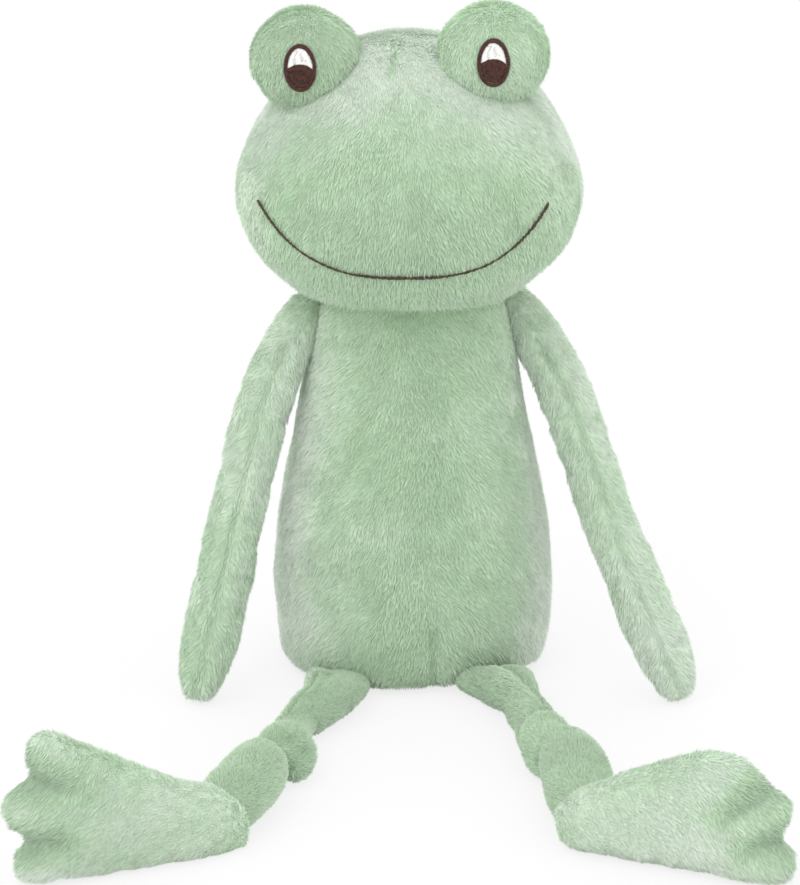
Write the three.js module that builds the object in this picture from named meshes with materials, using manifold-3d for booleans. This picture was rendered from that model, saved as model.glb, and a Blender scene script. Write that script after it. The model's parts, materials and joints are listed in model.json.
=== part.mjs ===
// A seated plush frog with knotted legs and webbed feet, in millimetres, +Z up, facing -Y.
// The origin is the middle of the flat seat. Left and right are the toy's own sides: left is +X.

import * as THREE from "three";
import { mergeVertices } from "three/addons/utils/BufferGeometryUtils.js";
import Module from "manifold-3d";

const wasm = await Module();
wasm.setup();

// Cloth and fit
const clothWall = 2.2; // pile cloth with its backing
const fitGap = 0.3; // left between pieces that touch
const overrun = 6; // how far a cutting form runs past what it cuts
const weldDistance = 0.0005;
const floorReach = 400; // side of the slab that cuts the standing forms flat

// Torso, in its own frame, from the seat to the neck seam
const torsoHeight = 124;
const torsoHalfWidth = 44.8;
const torsoFront = 38;
const torsoBack = 38;
const torsoTurn = 8; // degrees, towards the toy's left
const torsoSquareness = 2.3;
const pelletHeight = 26; // top of the bag of pellets that weights the seat
// Each row: height, half width, front and back, as shares of the four sizes above.
const torsoShares = [
  [0, 0.78, 0.76, 0.77],
  [0.03, 0.9, 0.9, 0.9],
  [0.1, 0.97, 0.975, 0.975],
  [0.225, 1, 1, 1],
  [0.35, 0.985, 0.97, 0.955],
  [0.46, 0.94, 0.92, 0.89],
  [0.57, 0.88, 0.86, 0.82],
  [0.7, 0.82, 0.79, 0.74],
  [0.83, 0.745, 0.73, 0.66],
  [0.93, 0.7, 0.69, 0.61],
  [1, 0.63, 0.63, 0.56],
];

// Head, above the neck seam
const headHeight = 81.5;
const headHalfWidth = 55;
const headFront = 49.5;
const headBack = 45.5;
const headTurn = -4; // degrees, towards the toy's right
const headSquareness = 2.2;
// Each row: height, half width, front and back, as shares of the four sizes above.
const headShares = [
  [0, 0.545, 0.515, 0.57],
  [0.033, 0.65, 0.65, 0.71],
  [0.095, 0.775, 0.83, 0.825],
  [0.18, 0.885, 0.945, 0.92],
  [0.29, 0.965, 1, 0.978],
  [0.41, 1, 1, 1],
  [0.55, 0.955, 0.95, 0.97],
  [0.685, 0.85, 0.84, 0.89],
  [0.807, 0.71, 0.69, 0.76],
  [0.905, 0.525, 0.5, 0.585],
  [0.972, 0.336, 0.293, 0.374],
  [1, 0, 0, 0],
];

// Eye bulges, on top of the head
const bulgeHalfWidth = 17;
const bulgeHalfDepth = 15.5;
const bulgeHalfHeight = 15.4;
const bulgeForward = 14;
// How far each bulge's middle lies to the side of the head's and below the head's top.
const bulges = {
  right: { out: -30.8, drop: 5.3 },
  left: { out: 26, drop: 3.7 },
};

// Embroidered eyes
const threadHeight = 0.7; // how far satin stitches stand off the pile's backing
const eyeHalfWidth = 4.8;
const eyeHalfHeight = 7.2;
const eyeDrop = 0.6; // middle of the eye below the middle of its bulge
const eyeRim = 1.2;
const irisRadius = 5.4;
const irisDrop = 3.4; // middle of the iris below the middle of the eye

// Mouth, a line of satin stitch
const mouthThread = 0.65; // radius
const mouthHalfWidth = 45;
const mouthLow = 16.5; // its middle, above the neck seam
const mouthRise = 19.5; // from its middle up to its corners
const mouthPower = 2.4;

// Arms
const shoulderDrop = 7; // below the neck seam
const shoulderOut = 33.5;
const armHalfWidth = 9.8;
const armHalfDepth = 9;
const armSink = 0.6; // how far the hand's tip lies under the floor that cuts it flat
// The hand's reach from the shoulder, and how far the arm bows out at two places between them.
const arms = {
  right: { out: 34, forward: 37, bowHigh: 5.5, bowLow: 5.5 },
  left: { out: 52.5, forward: 46, bowHigh: 4.5, bowLow: 1.5 },
};
// Each row: place along the arm, half width and half depth, as shares.
const armShares = [
  [0, 0.58, 0.62],
  [0.1, 0.76, 0.78],
  [0.28, 0.91, 0.93],
  [0.5, 0.96, 0.98],
  [0.7, 1, 1],
  [0.85, 0.96, 0.98],
  [0.94, 0.78, 0.8],
  [0.985, 0.44, 0.46],
  [1, 0, 0],
];
const armBendShares = [0.2, 0.6]; // where the bows are measured along the arm
const armSwing = { from: -65, to: 15 }; // degrees, raised forwards and swung back

// Legs: a thin tube from the seat's corner to a knot, and a fuller one on to the heel
const hipOut = 23;
const hipHeight = 5.2;
const hipStandOff = 0.8; // from the torso's surface to the rounded root
const thighRootWidth = 11.5; // half widths
const thighRootDepth = 2.4;
const thighNeckWidth = 7.4;
const thighNeckDepth = 5;
const thighLead = 14; // how far the thigh heads straight out from its seam
const kneeHeight = 9.9;
const kneeOut = { right: -39, left: 42.5 };
const kneeBack = { right: 43.5, left: 41.5 }; // from the heels' line back to the knot
const hipSwing = { from: -40, to: 90 }; // degrees, raised and hanging
const rootShares = [0.15, 0.5, 0.8]; // rings of the rounded root, as shares of a quarter turn
// Each row: place along the thigh, and how far its width and depth have changed from root to neck.
const thighShares = [
  [0, 0, 0],
  [0.1, 0.02, 0.1],
  [0.35, 0.25, 0.5],
  [0.7, 0.75, 0.85],
  [1, 1, 1],
];

// Knots
const knotCoreRadius = 8.4;
const knotHalfLength = 10.5;
const wrapRadius = 6.6; // from the leg's middle to the middle of the wrapped turn
const wrapHalfThickness = 3.7; // half sizes of the wrapped turn
const wrapHalfWidth = 5.8;
const wrapPitch = 7;
const wrapTurns = 1.2;
const wrapStartAngle = 150; // degrees
const wrapTuckShare = 0.35; // how deep the wrapped turn's ends are tucked in
const wrapTuckLength = 0.16; // and over what share of the turn
const kneeForward = 8.5; // from the knot's middle to the knee's turning point
const reliefDepth = 7; // how far past that point the knot is kept clear of the shin
const reliefLead = 24; // degrees of clearance beyond the shin's swing
const reliefShares = [0.25, 0.5, 0.72]; // rings of the knot's socket, as shares of a quarter turn

// Shins
const shinRootRadius = 6.6;
const shinRadius = 8.8;
const shinEndRadius = 5.8;
const kneeSwing = 30; // degrees each way
// Each row: place between the turning points, and swelling, as shares.
const shinShares = [
  [0, 0],
  [0.25, 0.85],
  [0.5, 1],
  [0.75, 0.7],
  [0.9, 0.2],
  [1, 0],
];
const ballShares = [0.3, 0.62]; // rings of a ball end, as shares of a quarter turn

// Feet: fans with three webbed toes, standing on an edge
const footLength = 72;
const footHeights = { right: 43.5, left: 38 };
const toeFold = { right: 0, left: 8 }; // how far the top toe is drawn back
const footHalfThickness = 6.8;
const heelRadius = 8.6;
const toeRadius = 7.2;
const footTurn = 21.8; // degrees from the toy's side towards its front
const ankleBehind = 8.2; // from the foot's middle plane back to the ankle
const ankleSwing = { forward: 15, back: 35 }; // degrees that the toes turn
const heelForward = 148.5;
const heelOut = { right: -54.2, left: 48.8 };
const heelTopAngle = 100; // degrees, where the upper edge leaves the heel
// The toes from the top one down. Shares: how far each middle lies behind the longest toe's, its
// part of the fold, and its rise between the outer two. Degrees: where each toe is round.
const toeShares = [
  { back: 0.1, fold: 1, rise: 1, from: 105, to: -50 },
  { back: 0, fold: 0.16, rise: 0.54, from: 110, to: -62 },
  { back: 0.04, fold: 0, rise: 0, from: 50, to: -90 },
];
const footMiddleShare = 0.5; // of the length and the height, where the foot is thickest
const crownPower = 3.2;

// Facets
const torsoSides = 28;
const torsoRings = 15;
const headSides = 32;
const headRings = 17;
const innerSides = 20;
const innerRings = 10;
const limbSides = 12;
const armRings = 15;
const legRings = 8;
const bulgeSides = 18;
const bulgeRings = 10;
const eyeSides = 10;
const mouthSteps = 30;
const mouthSides = 3;
const footSides = 40;
const footRings = 5;
const footInnerSides = 24;
const footInnerRings = 3;
const wrapSteps = 22;
const wrapSides = 8;
const swingStep = 15; // degrees between the places where a moving clearance is cut
const faceCorners = 3;

const sides = { right: -1, left: 1 };
const radians = THREE.MathUtils.degToRad;
const up = new THREE.Vector3(0, 0, 1);
const toSide = new THREE.Vector3(1, 0, 0);

// Materials

function cloth(colour) {
  return new THREE.MeshStandardMaterial({ color: colour, roughness: 0.95, metalness: 0 });
}

const pileGreen = cloth(0xaec9ab);
const pilePale = cloth(0xb9cfb6);
const fillingWhite = cloth(0xf1efe8);
const pelletGrey = cloth(0xd8d6cf);
const threadBrown = new THREE.MeshStandardMaterial({ color: 0x54413a, roughness: 0.6, metalness: 0 });
const threadWhite = new THREE.MeshStandardMaterial({ color: 0xe9e9e4, roughness: 0.6, metalness: 0 });

// Surfaces

// Rows between hand-chosen ones, on a smooth curve through them.
function smoothRows(rows, count) {
  const width = rows[0].length;
  const places = rows.map((row, index) => index);
  const track = new THREE.CubicInterpolant(places, rows.flat(), width, new Float32Array(width));
  const last = rows.length - 1;
  const rowAt = (step) => Array.from(track.evaluate((last * step) / count));
  return Array.from({ length: count + 1 }, (none, step) => rowAt(step));
}

// A closed surface through rings of points. Its ends close on the points given.
function skin(rings, start, end) {
  const points = [start, ...rings.flat(), end];
  const across = rings[0].length;
  const index = [];
  const at = (ring, side) => 1 + ring * across + (side % across);
  for (let side = 0; side < across; side++) {
    index.push(0, at(0, side + 1), at(0, side));
    index.push(points.length - 1, at(rings.length - 1, side), at(rings.length - 1, side + 1));
    for (let ring = 0; ring < rings.length - 1; ring++) {
      index.push(at(ring, side), at(ring, side + 1), at(ring + 1, side));
      index.push(at(ring + 1, side), at(ring, side + 1), at(ring + 1, side + 1));
    }
  }
  const geometry = new THREE.BufferGeometry().setFromPoints(points);
  geometry.setIndex(volumeOf(points, index) < 0 ? index.reverse() : index);
  return geometry;
}

// Positive where the faces of a closed surface point outwards.
function volumeOf(points, index) {
  let sum = 0;
  for (let first = 0; first < index.length; first += faceCorners) {
    const [a, b, c] = index.slice(first, first + faceCorners).map((each) => points[each]);
    sum += a.dot(b.clone().cross(c));
  }
  return sum;
}

function powered(value, squareness) {
  return Math.sign(value) * Math.abs(value) ** (2 / squareness);
}

// A ring at one height, wider than deep, with its own front and back.
function levelRing(height, halfWidth, front, back, squareness, count) {
  return Array.from({ length: count }, (none, side) => {
    const angle = (2 * Math.PI * side) / count;
    const deep = Math.sin(angle) < 0 ? front : back;
    const x = halfWidth * powered(Math.cos(angle), squareness);
    return new THREE.Vector3(x, deep * powered(Math.sin(angle), squareness), height);
  });
}

// Rings whose first or last one is carried on straight to a height, or drawn back to it.
function runOn(rings, which, height) {
  const last = rings[which].map((point) => new THREE.Vector3(point.x, point.y, height));
  const outside = which === 0 ? height < rings[0][0].z : height > rings[which][0].z;
  const kept = outside ? rings : rings.filter((ring, index) => index !== which);
  return which === 0 ? [last, ...kept] : [...kept, last];
}

// A ring square to a direction, measured along two axes of its own.
function crossRing(middle, wideAxis, deepAxis, halfWidth, halfDepth, count) {
  return Array.from({ length: count }, (none, side) => {
    const angle = (2 * Math.PI * side) / count;
    return middle
      .clone()
      .addScaledVector(wideAxis, halfWidth * Math.cos(angle))
      .addScaledVector(deepAxis, halfDepth * Math.sin(angle));
  });
}

// A limb along a path. Each row holds the place along it, a half width and a half depth.
function limb(path, rows, wideHint, count, end) {
  const rings = rows.map(([place, halfWidth, halfDepth]) => {
    const along = THREE.MathUtils.clamp(place, 0, 1);
    const tangent = path.getTangentAt(along);
    const wideAxis = wideHint.clone().addScaledVector(tangent, -wideHint.dot(tangent)).normalize();
    const deepAxis = tangent.clone().cross(wideAxis);
    return crossRing(path.getPointAt(along), wideAxis, deepAxis, halfWidth, halfDepth, count);
  });
  return skin(rings, path.getPointAt(0), end);
}

// Joins and cuts

function toSolid(geometry) {
  const bare = geometry.clone();
  bare.deleteAttribute("normal");
  bare.deleteAttribute("uv");
  const merged = mergeVertices(bare, weldDistance);
  const vertProperties = Float32Array.from(merged.attributes.position.array);
  const triVerts = Uint32Array.from(merged.index.array);
  return new wasm.Manifold(new wasm.Mesh({ numProp: 3, vertProperties, triVerts }));
}

function toGeometry(solid) {
  const mesh = solid.getMesh();
  const geometry = new THREE.BufferGeometry();
  geometry.setAttribute("position", new THREE.BufferAttribute(mesh.vertProperties, 3));
  geometry.setIndex(new THREE.BufferAttribute(mesh.triVerts, 1));
  return geometry;
}

function cut(geometry, ...tools) {
  return toGeometry(tools.reduce((left, tool) => left.subtract(toSolid(tool)), toSolid(geometry)));
}

function common(geometry, other) {
  return toGeometry(toSolid(geometry).intersect(toSolid(other)));
}

function join(geometry, other) {
  return toGeometry(toSolid(geometry).add(toSolid(other)));
}

// A geometry drawn in one group's frame, as another group sees it.
function seenFrom(geometry, from, to) {
  from.updateWorldMatrix(true, false);
  to.updateWorldMatrix(true, false);
  return geometry.clone().applyMatrix4(to.matrixWorld.clone().invert().multiply(from.matrixWorld));
}

// A slab under the floor, in a group's frame, that cuts what stands on it flat.
function floorFor(group) {
  const slab = new THREE.BoxGeometry(floorReach, floorReach, overrun);
  slab.translate(0, 0, -overrun / 2);
  return seenFrom(slab, toy, group);
}

// The form swung about an axis through the origin, at every step from one angle to another.
function swung(form, axis, from, to) {
  const count = Math.ceil((to - from) / swingStep);
  return Array.from({ length: count + 1 }, (none, step) => {
    const angle = radians(from + ((to - from) * step) / count);
    return form.clone().applyMatrix4(new THREE.Matrix4().makeRotationAxis(axis, angle));
  });
}

function addPiece(group, name, geometry, material) {
  geometry.computeVertexNormals();
  const piece = new THREE.Mesh(geometry, material);
  piece.name = name;
  group.add(piece);
  return piece;
}

// Frames of the parts that move

const toy = new THREE.Group();

function frameIn(parent, x, y, z) {
  const group = new THREE.Group();
  group.position.set(x, y, z);
  parent.add(group);
  return group;
}

// Torso

// The torso's form, drawn in by an inset. Its top runs on past the neck seam by a reach.
function torsoForm(inset, sideCount, ringCount, neckReach) {
  const ringOf = ([high, wide, front, back]) =>
    levelRing(
      Math.max(torsoHeight * high, inset),
      torsoHalfWidth * wide - inset,
      torsoFront * front - inset,
      torsoBack * back - inset,
      torsoSquareness,
      sideCount,
    );
  const rings = smoothRows(torsoShares, ringCount).map(ringOf);
  const top = new THREE.Vector3(0, 0, torsoHeight + neckReach);
  return skin(runOn(rings, rings.length - 1, top.z), new THREE.Vector3(0, 0, Math.max(0, inset)), top);
}

// The torso's place and turn, and the point of its surface at a height and a distance to the side.
const torsoFrame = frameIn(toy, 0, 0, 0);
torsoFrame.rotation.z = radians(torsoTurn);

function rowAtHeight(shares, height) {
  const rows = smoothRows(shares, shares.length * torsoRings);
  return rows.find((row) => row[0] >= height) ?? rows[rows.length - 1];
}

function torsoSurface(out, height) {
  const [, wide, front] = rowAtHeight(torsoShares, height / torsoHeight);
  const across = Math.abs(out / (torsoHalfWidth * wide)) ** torsoSquareness;
  return new THREE.Vector3(out, -torsoFront * front * (1 - across) ** (1 / torsoSquareness), height);
}

function addTorso() {
  const cover = cut(
    torsoForm(0, torsoSides, torsoRings, 0),
    torsoForm(clothWall, innerSides, innerRings, overrun),
  );
  const inside = torsoForm(clothWall + fitGap, innerSides, innerRings, -fitGap / 2);
  const level = new THREE.BoxGeometry(floorReach, floorReach, floorReach);
  const above = level.clone().translate(0, 0, pelletHeight + floorReach / 2);
  const below = level.clone().translate(0, 0, pelletHeight - fitGap - floorReach / 2);
  addPiece(torsoFrame, "torso_cover", cover, pileGreen);
  addPiece(torsoFrame, "torso_filling", common(inside, above), fillingWhite);
  addPiece(torsoFrame, "seat_pellet_bag", common(inside, below), pelletGrey);
}

// Head

const headFrame = frameIn(toy, 0, 0, torsoHeight + fitGap);
headFrame.rotation.z = radians(headTurn);

// The head's form, drawn in by an inset. Its underside runs on past the neck seam by a reach.
function headForm(inset, sideCount, ringCount, neckReach) {
  const top = headHeight - inset;
  const ringOf = ([high, wide, front, back]) =>
    levelRing(
      top * high,
      headHalfWidth * wide - inset,
      headFront * front - inset,
      headBack * back - inset,
      headSquareness,
      sideCount,
    );
  const rings = smoothRows(headShares, ringCount).slice(0, -1).map(ringOf);
  const under = new THREE.Vector3(0, 0, -neckReach);
  return skin(runOn(rings, 0, under.z), under, new THREE.Vector3(0, 0, top));
}

// The point of the head's front at a height and a distance to the side, moved out by a distance.
function headSurface(out, height, grow) {
  const [, wide, front] = rowAtHeight(headShares, height / headHeight);
  const across = Math.abs(out / (headHalfWidth * wide + grow)) ** headSquareness;
  const deep = (headFront * front + grow) * (1 - across) ** (1 / headSquareness);
  return new THREE.Vector3(out, -deep, height);
}

function mouthPath() {
  const stand = fitGap + mouthThread;
  const points = Array.from({ length: mouthSteps + 1 }, (none, step) => {
    const share = (2 * step) / mouthSteps - 1;
    const height = mouthLow + mouthRise * Math.abs(share) ** mouthPower;
    return headSurface(mouthHalfWidth * share, height, stand);
  });
  return new THREE.CatmullRomCurve3(points);
}

function addMouth() {
  const section = new THREE.Shape().absarc(0, 0, mouthThread, 0, 2 * Math.PI);
  const line = new THREE.ExtrudeGeometry(section, {
    steps: mouthSteps,
    curveSegments: mouthSides,
    extrudePath: mouthPath(),
  });
  addPiece(headFrame, "mouth_stitching", line, threadBrown);
}

function bulgeForm(grow, sideCount, ringCount) {
  const ball = new THREE.SphereGeometry(1, sideCount, ringCount);
  return ball.scale(bulgeHalfWidth + grow, bulgeHalfDepth + grow, bulgeHalfHeight + grow);
}

// An oval of the bulge's front, as thick as the stitches on it.
function eyePatch(halfWidth, halfHeight, drop) {
  const outline = new THREE.Shape().absellipse(0, 0, halfWidth, halfHeight, 0, 2 * Math.PI);
  const prism = new THREE.ExtrudeGeometry(outline, {
    depth: bulgeHalfDepth + overrun,
    bevelEnabled: false,
    curveSegments: eyeSides,
  });
  return prism.rotateX(Math.PI / 2).translate(0, 0, -drop);
}

function addEye(frame, side) {
  const stitches = cut(
    bulgeForm(fitGap + threadHeight, bulgeSides, bulgeRings),
    bulgeForm(fitGap, bulgeSides, bulgeRings),
  );
  const oval = eyePatch(eyeHalfWidth, eyeHalfHeight, eyeDrop);
  const inner = eyePatch(eyeHalfWidth - eyeRim, eyeHalfHeight - eyeRim, eyeDrop);
  const shrunk = eyePatch(eyeHalfWidth - eyeRim - fitGap, eyeHalfHeight - eyeRim - fitGap, eyeDrop);
  const iris = eyePatch(irisRadius, irisRadius, eyeDrop + irisDrop);
  const irisGrown = eyePatch(irisRadius + fitGap, irisRadius + fitGap, eyeDrop + irisDrop);
  const dark = common(stitches, cut(oval, cut(inner, iris)));
  const white = common(stitches, cut(shrunk, irisGrown));
  addPiece(frame, `eye_dark_${side}`, dark, threadBrown);
  addPiece(frame, `eye_white_${side}`, white, threadWhite);
}

function addBulge(side) {
  const { out, drop } = bulges[side];
  const frame = frameIn(headFrame, out, -bulgeForward, headHeight - drop);
  const head = seenFrom(headForm(-fitGap, headSides, headRings, 0), headFrame, frame);
  const cover = cut(
    bulgeForm(0, bulgeSides, bulgeRings),
    bulgeForm(-clothWall, bulgeSides, bulgeRings),
    head,
  );
  const filling = cut(bulgeForm(-clothWall - fitGap, bulgeSides, bulgeRings), head);
  addPiece(frame, `eye_bulge_cover_${side}`, cover, pileGreen);
  addPiece(frame, `eye_bulge_filling_${side}`, filling, fillingWhite);
  addEye(frame, side);
}

function addHead() {
  const cover = cut(
    headForm(0, headSides, headRings, 0),
    headForm(clothWall, innerSides, innerRings, overrun),
  );
  const filling = headForm(clothWall + fitGap, innerSides, innerRings, -fitGap / 2);
  addPiece(headFrame, "head_cover", cover, pileGreen);
  addPiece(headFrame, "head_filling", filling, fillingWhite);
  addMouth();
  Object.keys(sides).forEach(addBulge);
}

// Arms

const shoulderHeight = torsoHeight - shoulderDrop;

function armPath(side) {
  const { out, forward, bowHigh, bowLow } = arms[side];
  const tip = new THREE.Vector3(sides[side] * out, -forward, -armSink - shoulderHeight);
  const bows = [bowHigh, bowLow];
  const bends = armBendShares.map((share, index) =>
    tip.clone().multiplyScalar(share).addScaledVector(toSide, sides[side] * bows[index]),
  );
  return new THREE.CatmullRomCurve3([new THREE.Vector3(), ...bends, tip]);
}

function armForm(side, inset, sideCount, ringCount) {
  const path = armPath(side);
  const reach = 1 - inset / path.getLength();
  const rows = smoothRows(armShares, ringCount)
    .filter(([, wide]) => armHalfWidth * wide > Math.max(0, 2 * inset))
    .map(([along, wide, deep]) => [
      reach * along,
      armHalfWidth * wide - inset,
      armHalfDepth * deep - inset,
    ]);
  return limb(path, rows, toSide, sideCount, path.getPointAt(Math.min(1, reach)));
}

function addArm(side) {
  const place = new THREE.Vector3(sides[side] * shoulderOut, 0, shoulderHeight);
  const frame = frameIn(toy, ...place.applyAxisAngle(up, radians(torsoTurn)));
  const axis = toSide.clone().applyAxisAngle(up, radians(torsoTurn));
  const torso = seenFrom(torsoForm(-fitGap, torsoSides, torsoRings, overrun), torsoFrame, frame);
  const stops = [torso, ...swung(torso, axis, -armSwing.to, -armSwing.from), floorFor(frame)];
  const cover = cut(
    armForm(side, 0, limbSides, armRings),
    armForm(side, clothWall, limbSides, armRings),
    ...stops,
  );
  const filling = cut(armForm(side, clothWall + fitGap, limbSides, armRings), ...stops);
  addPiece(frame, `arm_cover_${side}`, cover, pileGreen);
  addPiece(frame, `arm_filling_${side}`, filling, fillingWhite);
}

// Legs

// The places where a leg turns: the hip on the torso's corner, the knee and the ankle.
function legPlaces(side) {
  const hand = sides[side];
  const inner = torsoSurface(hand * (hipOut - thighRootWidth / 2), hipHeight);
  const outer = torsoSurface(hand * (hipOut + thighRootWidth / 2), hipHeight);
  const seam = inner.clone().lerp(outer, 1 / 2).applyAxisAngle(up, radians(torsoTurn));
  const hinge = outer.sub(inner).multiplyScalar(hand).normalize().applyAxisAngle(up, radians(torsoTurn));
  const away = hinge.clone().cross(up).setLength(thighRootDepth + hipStandOff);
  const knot = new THREE.Vector3(kneeOut[side], kneeBack[side] - heelForward, kneeHeight);
  const heel = new THREE.Vector3(heelOut[side], -heelForward, heelRadius);
  const behind = new THREE.Vector3(0, ankleBehind, 0).applyAxisAngle(up, -hand * radians(footTurn));
  const ankle = heel.add(behind);
  const down = ankle.clone().sub(knot).normalize();
  const knee = knot.clone().addScaledVector(down, kneeForward);
  return { hip: seam.add(away), hinge, knot, knee, ankle, down };
}

// A thin tube whose root is rounded about the hinge, so that it turns clear of the torso.
function thighForm({ hip, hinge, knot }) {
  const reach = knot.clone().sub(hip);
  const away = hinge.clone().cross(up);
  const start = away.clone().multiplyScalar(-thighRootDepth);
  const bend = away.clone().multiplyScalar(thighLead);
  const path = new THREE.QuadraticBezierCurve3(start, bend, reach);
  const rootShare = thighRootDepth / path.getLength();
  const rootRows = rootShares.map((share) => {
    const turn = share * (Math.PI / 2);
    return [rootShare * (1 - Math.cos(turn)), thighRootWidth, thighRootDepth * Math.sin(turn)];
  });
  const rows = smoothRows(thighShares, legRings).map(([along, wide, deep]) => [
    THREE.MathUtils.lerp(rootShare, 1, along),
    THREE.MathUtils.lerp(thighRootWidth, thighNeckWidth, wide),
    THREE.MathUtils.lerp(thighRootDepth, thighNeckDepth, deep),
  ]);
  return limb(path, [...rootRows, ...rows], hinge, limbSides, reach);
}

// A ball at each end and a swelling between them, along a line.
function shinForm({ knee, ankle }, grow) {
  const reach = ankle.clone().sub(knee);
  const line = new THREE.LineCurve3(new THREE.Vector3(), reach);
  const wideAxis = reach.clone().cross(up).normalize();
  const deepAxis = wideAxis.clone().cross(reach).normalize();
  const ringAt = (along, radius) => {
    const middle = reach.clone().setLength(along);
    return crossRing(middle, wideAxis, deepAxis, radius, radius, limbSides);
  };
  const length = line.getLength();
  const root = shinRootRadius + grow;
  const end = shinEndRadius + grow;
  const turns = ballShares.map((share) => share * (Math.PI / 2));
  const rings = [
    ...turns.map((turn) => ringAt(-root * Math.cos(turn), root * Math.sin(turn))),
    ...smoothRows(shinShares, legRings).map(([along, swelling]) => {
      const plain = THREE.MathUtils.lerp(root, end, along);
      return ringAt(length * along, THREE.MathUtils.lerp(plain, shinRadius + grow, swelling));
    }),
    ...turns.toReversed().map((turn) => ringAt(length + end * Math.cos(turn), end * Math.sin(turn))),
  ];
  return skin(rings, reach.clone().setLength(-root), reach.clone().setLength(length + end));
}

// The middle of the turn that is wrapped round the knot, along the leg's direction.
function wrapPath(down) {
  const across = down.clone().cross(up).normalize();
  const over = across.clone().cross(down);
  const points = Array.from({ length: wrapSteps + 1 }, (none, step) => {
    const share = step / wrapSteps;
    const angle = radians(wrapStartAngle) + 2 * Math.PI * wrapTurns * share;
    const fromEnd = Math.min(share, 1 - share);
    const tuck = Math.min(1, wrapTuckShare + fromEnd / wrapTuckLength);
    return new THREE.Vector3()
      .addScaledVector(down, wrapPitch * wrapTurns * (share - 1 / 2))
      .addScaledVector(across, wrapRadius * tuck * Math.cos(angle))
      .addScaledVector(over, wrapRadius * tuck * Math.sin(angle));
  });
  return new THREE.CatmullRomCurve3(points);
}

function knotForm({ down }, grow) {
  const core = new THREE.SphereGeometry(1, limbSides, legRings);
  core.scale(knotCoreRadius + grow, knotCoreRadius + grow, knotHalfLength + grow);
  core.applyQuaternion(new THREE.Quaternion().setFromUnitVectors(up, down));
  const path = wrapPath(down);
  const rows = Array.from({ length: wrapSteps + 1 }, (none, step) => [
    step / wrapSteps,
    wrapHalfWidth + grow,
    wrapHalfThickness + grow,
  ]);
  return join(core, limb(path, rows, down, wrapSides, path.getPointAt(1)));
}

// What the knot leaves free for the shin's ball and for the cone in which the shin swings.
function kneeRelief({ down }) {
  const ball = shinRootRadius + fitGap;
  const swing = radians(kneeSwing);
  const mouth = ball * Math.cos(swing) + (shinRadius - shinRootRadius);
  const flare = mouth + reliefDepth * Math.tan(swing + radians(reliefLead));
  const turns = reliefShares.map((share) => share * (Math.PI / 2));
  const profile = [
    new THREE.Vector2(0, -ball),
    ...turns.map((turn) => new THREE.Vector2(ball * Math.sin(turn), -ball * Math.cos(turn))),
    new THREE.Vector2(flare, reliefDepth),
    new THREE.Vector2(0, reliefDepth),
  ];
  const relief = new THREE.LatheGeometry(profile, limbSides);
  const yUp = new THREE.Vector3(0, 1, 0);
  return relief.applyQuaternion(new THREE.Quaternion().setFromUnitVectors(yUp, down));
}

function addLeg(side) {
  const places = legPlaces(side);
  const thighFrame = frameIn(toy, ...places.hip);
  const shinFrame = frameIn(toy, ...places.knee);
  const knotPlace = places.knot.clone().sub(places.hip);
  const moved = (form) => form.translate(...knotPlace);
  const relief = seenFrom(kneeRelief(places), shinFrame, thighFrame);
  const knot = cut(moved(knotForm(places, 0)), relief, floorFor(thighFrame));
  const thigh = cut(thighForm(places), moved(knotForm(places, fitGap)), floorFor(thighFrame));
  addPiece(thighFrame, `thigh_${side}`, thigh, pileGreen);
  addPiece(thighFrame, `knee_knot_${side}`, knot, pileGreen);
  addPiece(shinFrame, `shin_${side}`, cut(shinForm(places, 0), floorFor(shinFrame)), pileGreen);
  addFoot(side, places, shinFrame);
}

// Feet

function footOutline(side) {
  const height = footHeights[side];
  const outline = new THREE.Shape();
  outline.absarc(heelRadius, heelRadius, heelRadius, -Math.PI / 2, radians(heelTopAngle), true);
  for (const { back, fold, rise, from, to } of toeShares) {
    const along = footLength - toeRadius - back * footLength - fold * toeFold[side];
    const middle = THREE.MathUtils.lerp(toeRadius, height - toeRadius, rise);
    outline.absarc(along, middle, toeRadius, radians(from), radians(to), true);
  }
  outline.closePath();
  return outline;
}

// A crowned pillow on the outline, in the ankle's frame: along the toes, back through the foot and up.
function footForm(side, inset, sideCount, ringCount) {
  const height = footHeights[side];
  const edge = footOutline(side).getSpacedPoints(sideCount).slice(0, -1);
  const middle = new THREE.Vector2(footLength * footMiddleShare, height * footMiddleShare);
  const size = 1 - inset / middle.y;
  const thick = footHalfThickness - inset;
  const place = (point, deep) =>
    new THREE.Vector3(sides[side] * (point.x - heelRadius), deep - ankleBehind, point.y - heelRadius);
  const steps = Array.from({ length: 2 * ringCount - 1 }, (none, step) => (step + 1) / ringCount - 1);
  const rings = steps.map((step) => {
    const reach = Math.cos((step * Math.PI) / 2);
    const deep = Math.sign(step) * thick * Math.sqrt(1 - reach ** crownPower);
    return edge.map((point) => place(middle.clone().lerp(point, reach * size), deep));
  });
  return skin(rings, place(middle, -thick), place(middle, thick));
}

function addFoot(side, places, shinFrame) {
  const frame = frameIn(toy, ...places.ankle);
  frame.rotation.z = -sides[side] * radians(footTurn);
  const socket = new THREE.SphereGeometry(shinEndRadius + fitGap, limbSides, legRings);
  const shin = seenFrom(shinForm(places, 0), shinFrame, frame);
  const shins = side === "left"
    ? swung(shin, up, -ankleSwing.back, ankleSwing.forward)
    : swung(shin, up, -ankleSwing.forward, ankleSwing.back);
  const stops = [socket, ...shins, floorFor(frame)];
  const cover = cut(
    footForm(side, 0, footSides, footRings),
    footForm(side, clothWall, footInnerSides, footInnerRings),
    ...stops,
  );
  const filling = cut(footForm(side, clothWall + fitGap, footInnerSides, footInnerRings), ...stops);
  addPiece(frame, `foot_cover_${side}`, cover, pilePale);
  addPiece(frame, `foot_filling_${side}`, filling, fillingWhite);
}

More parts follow.
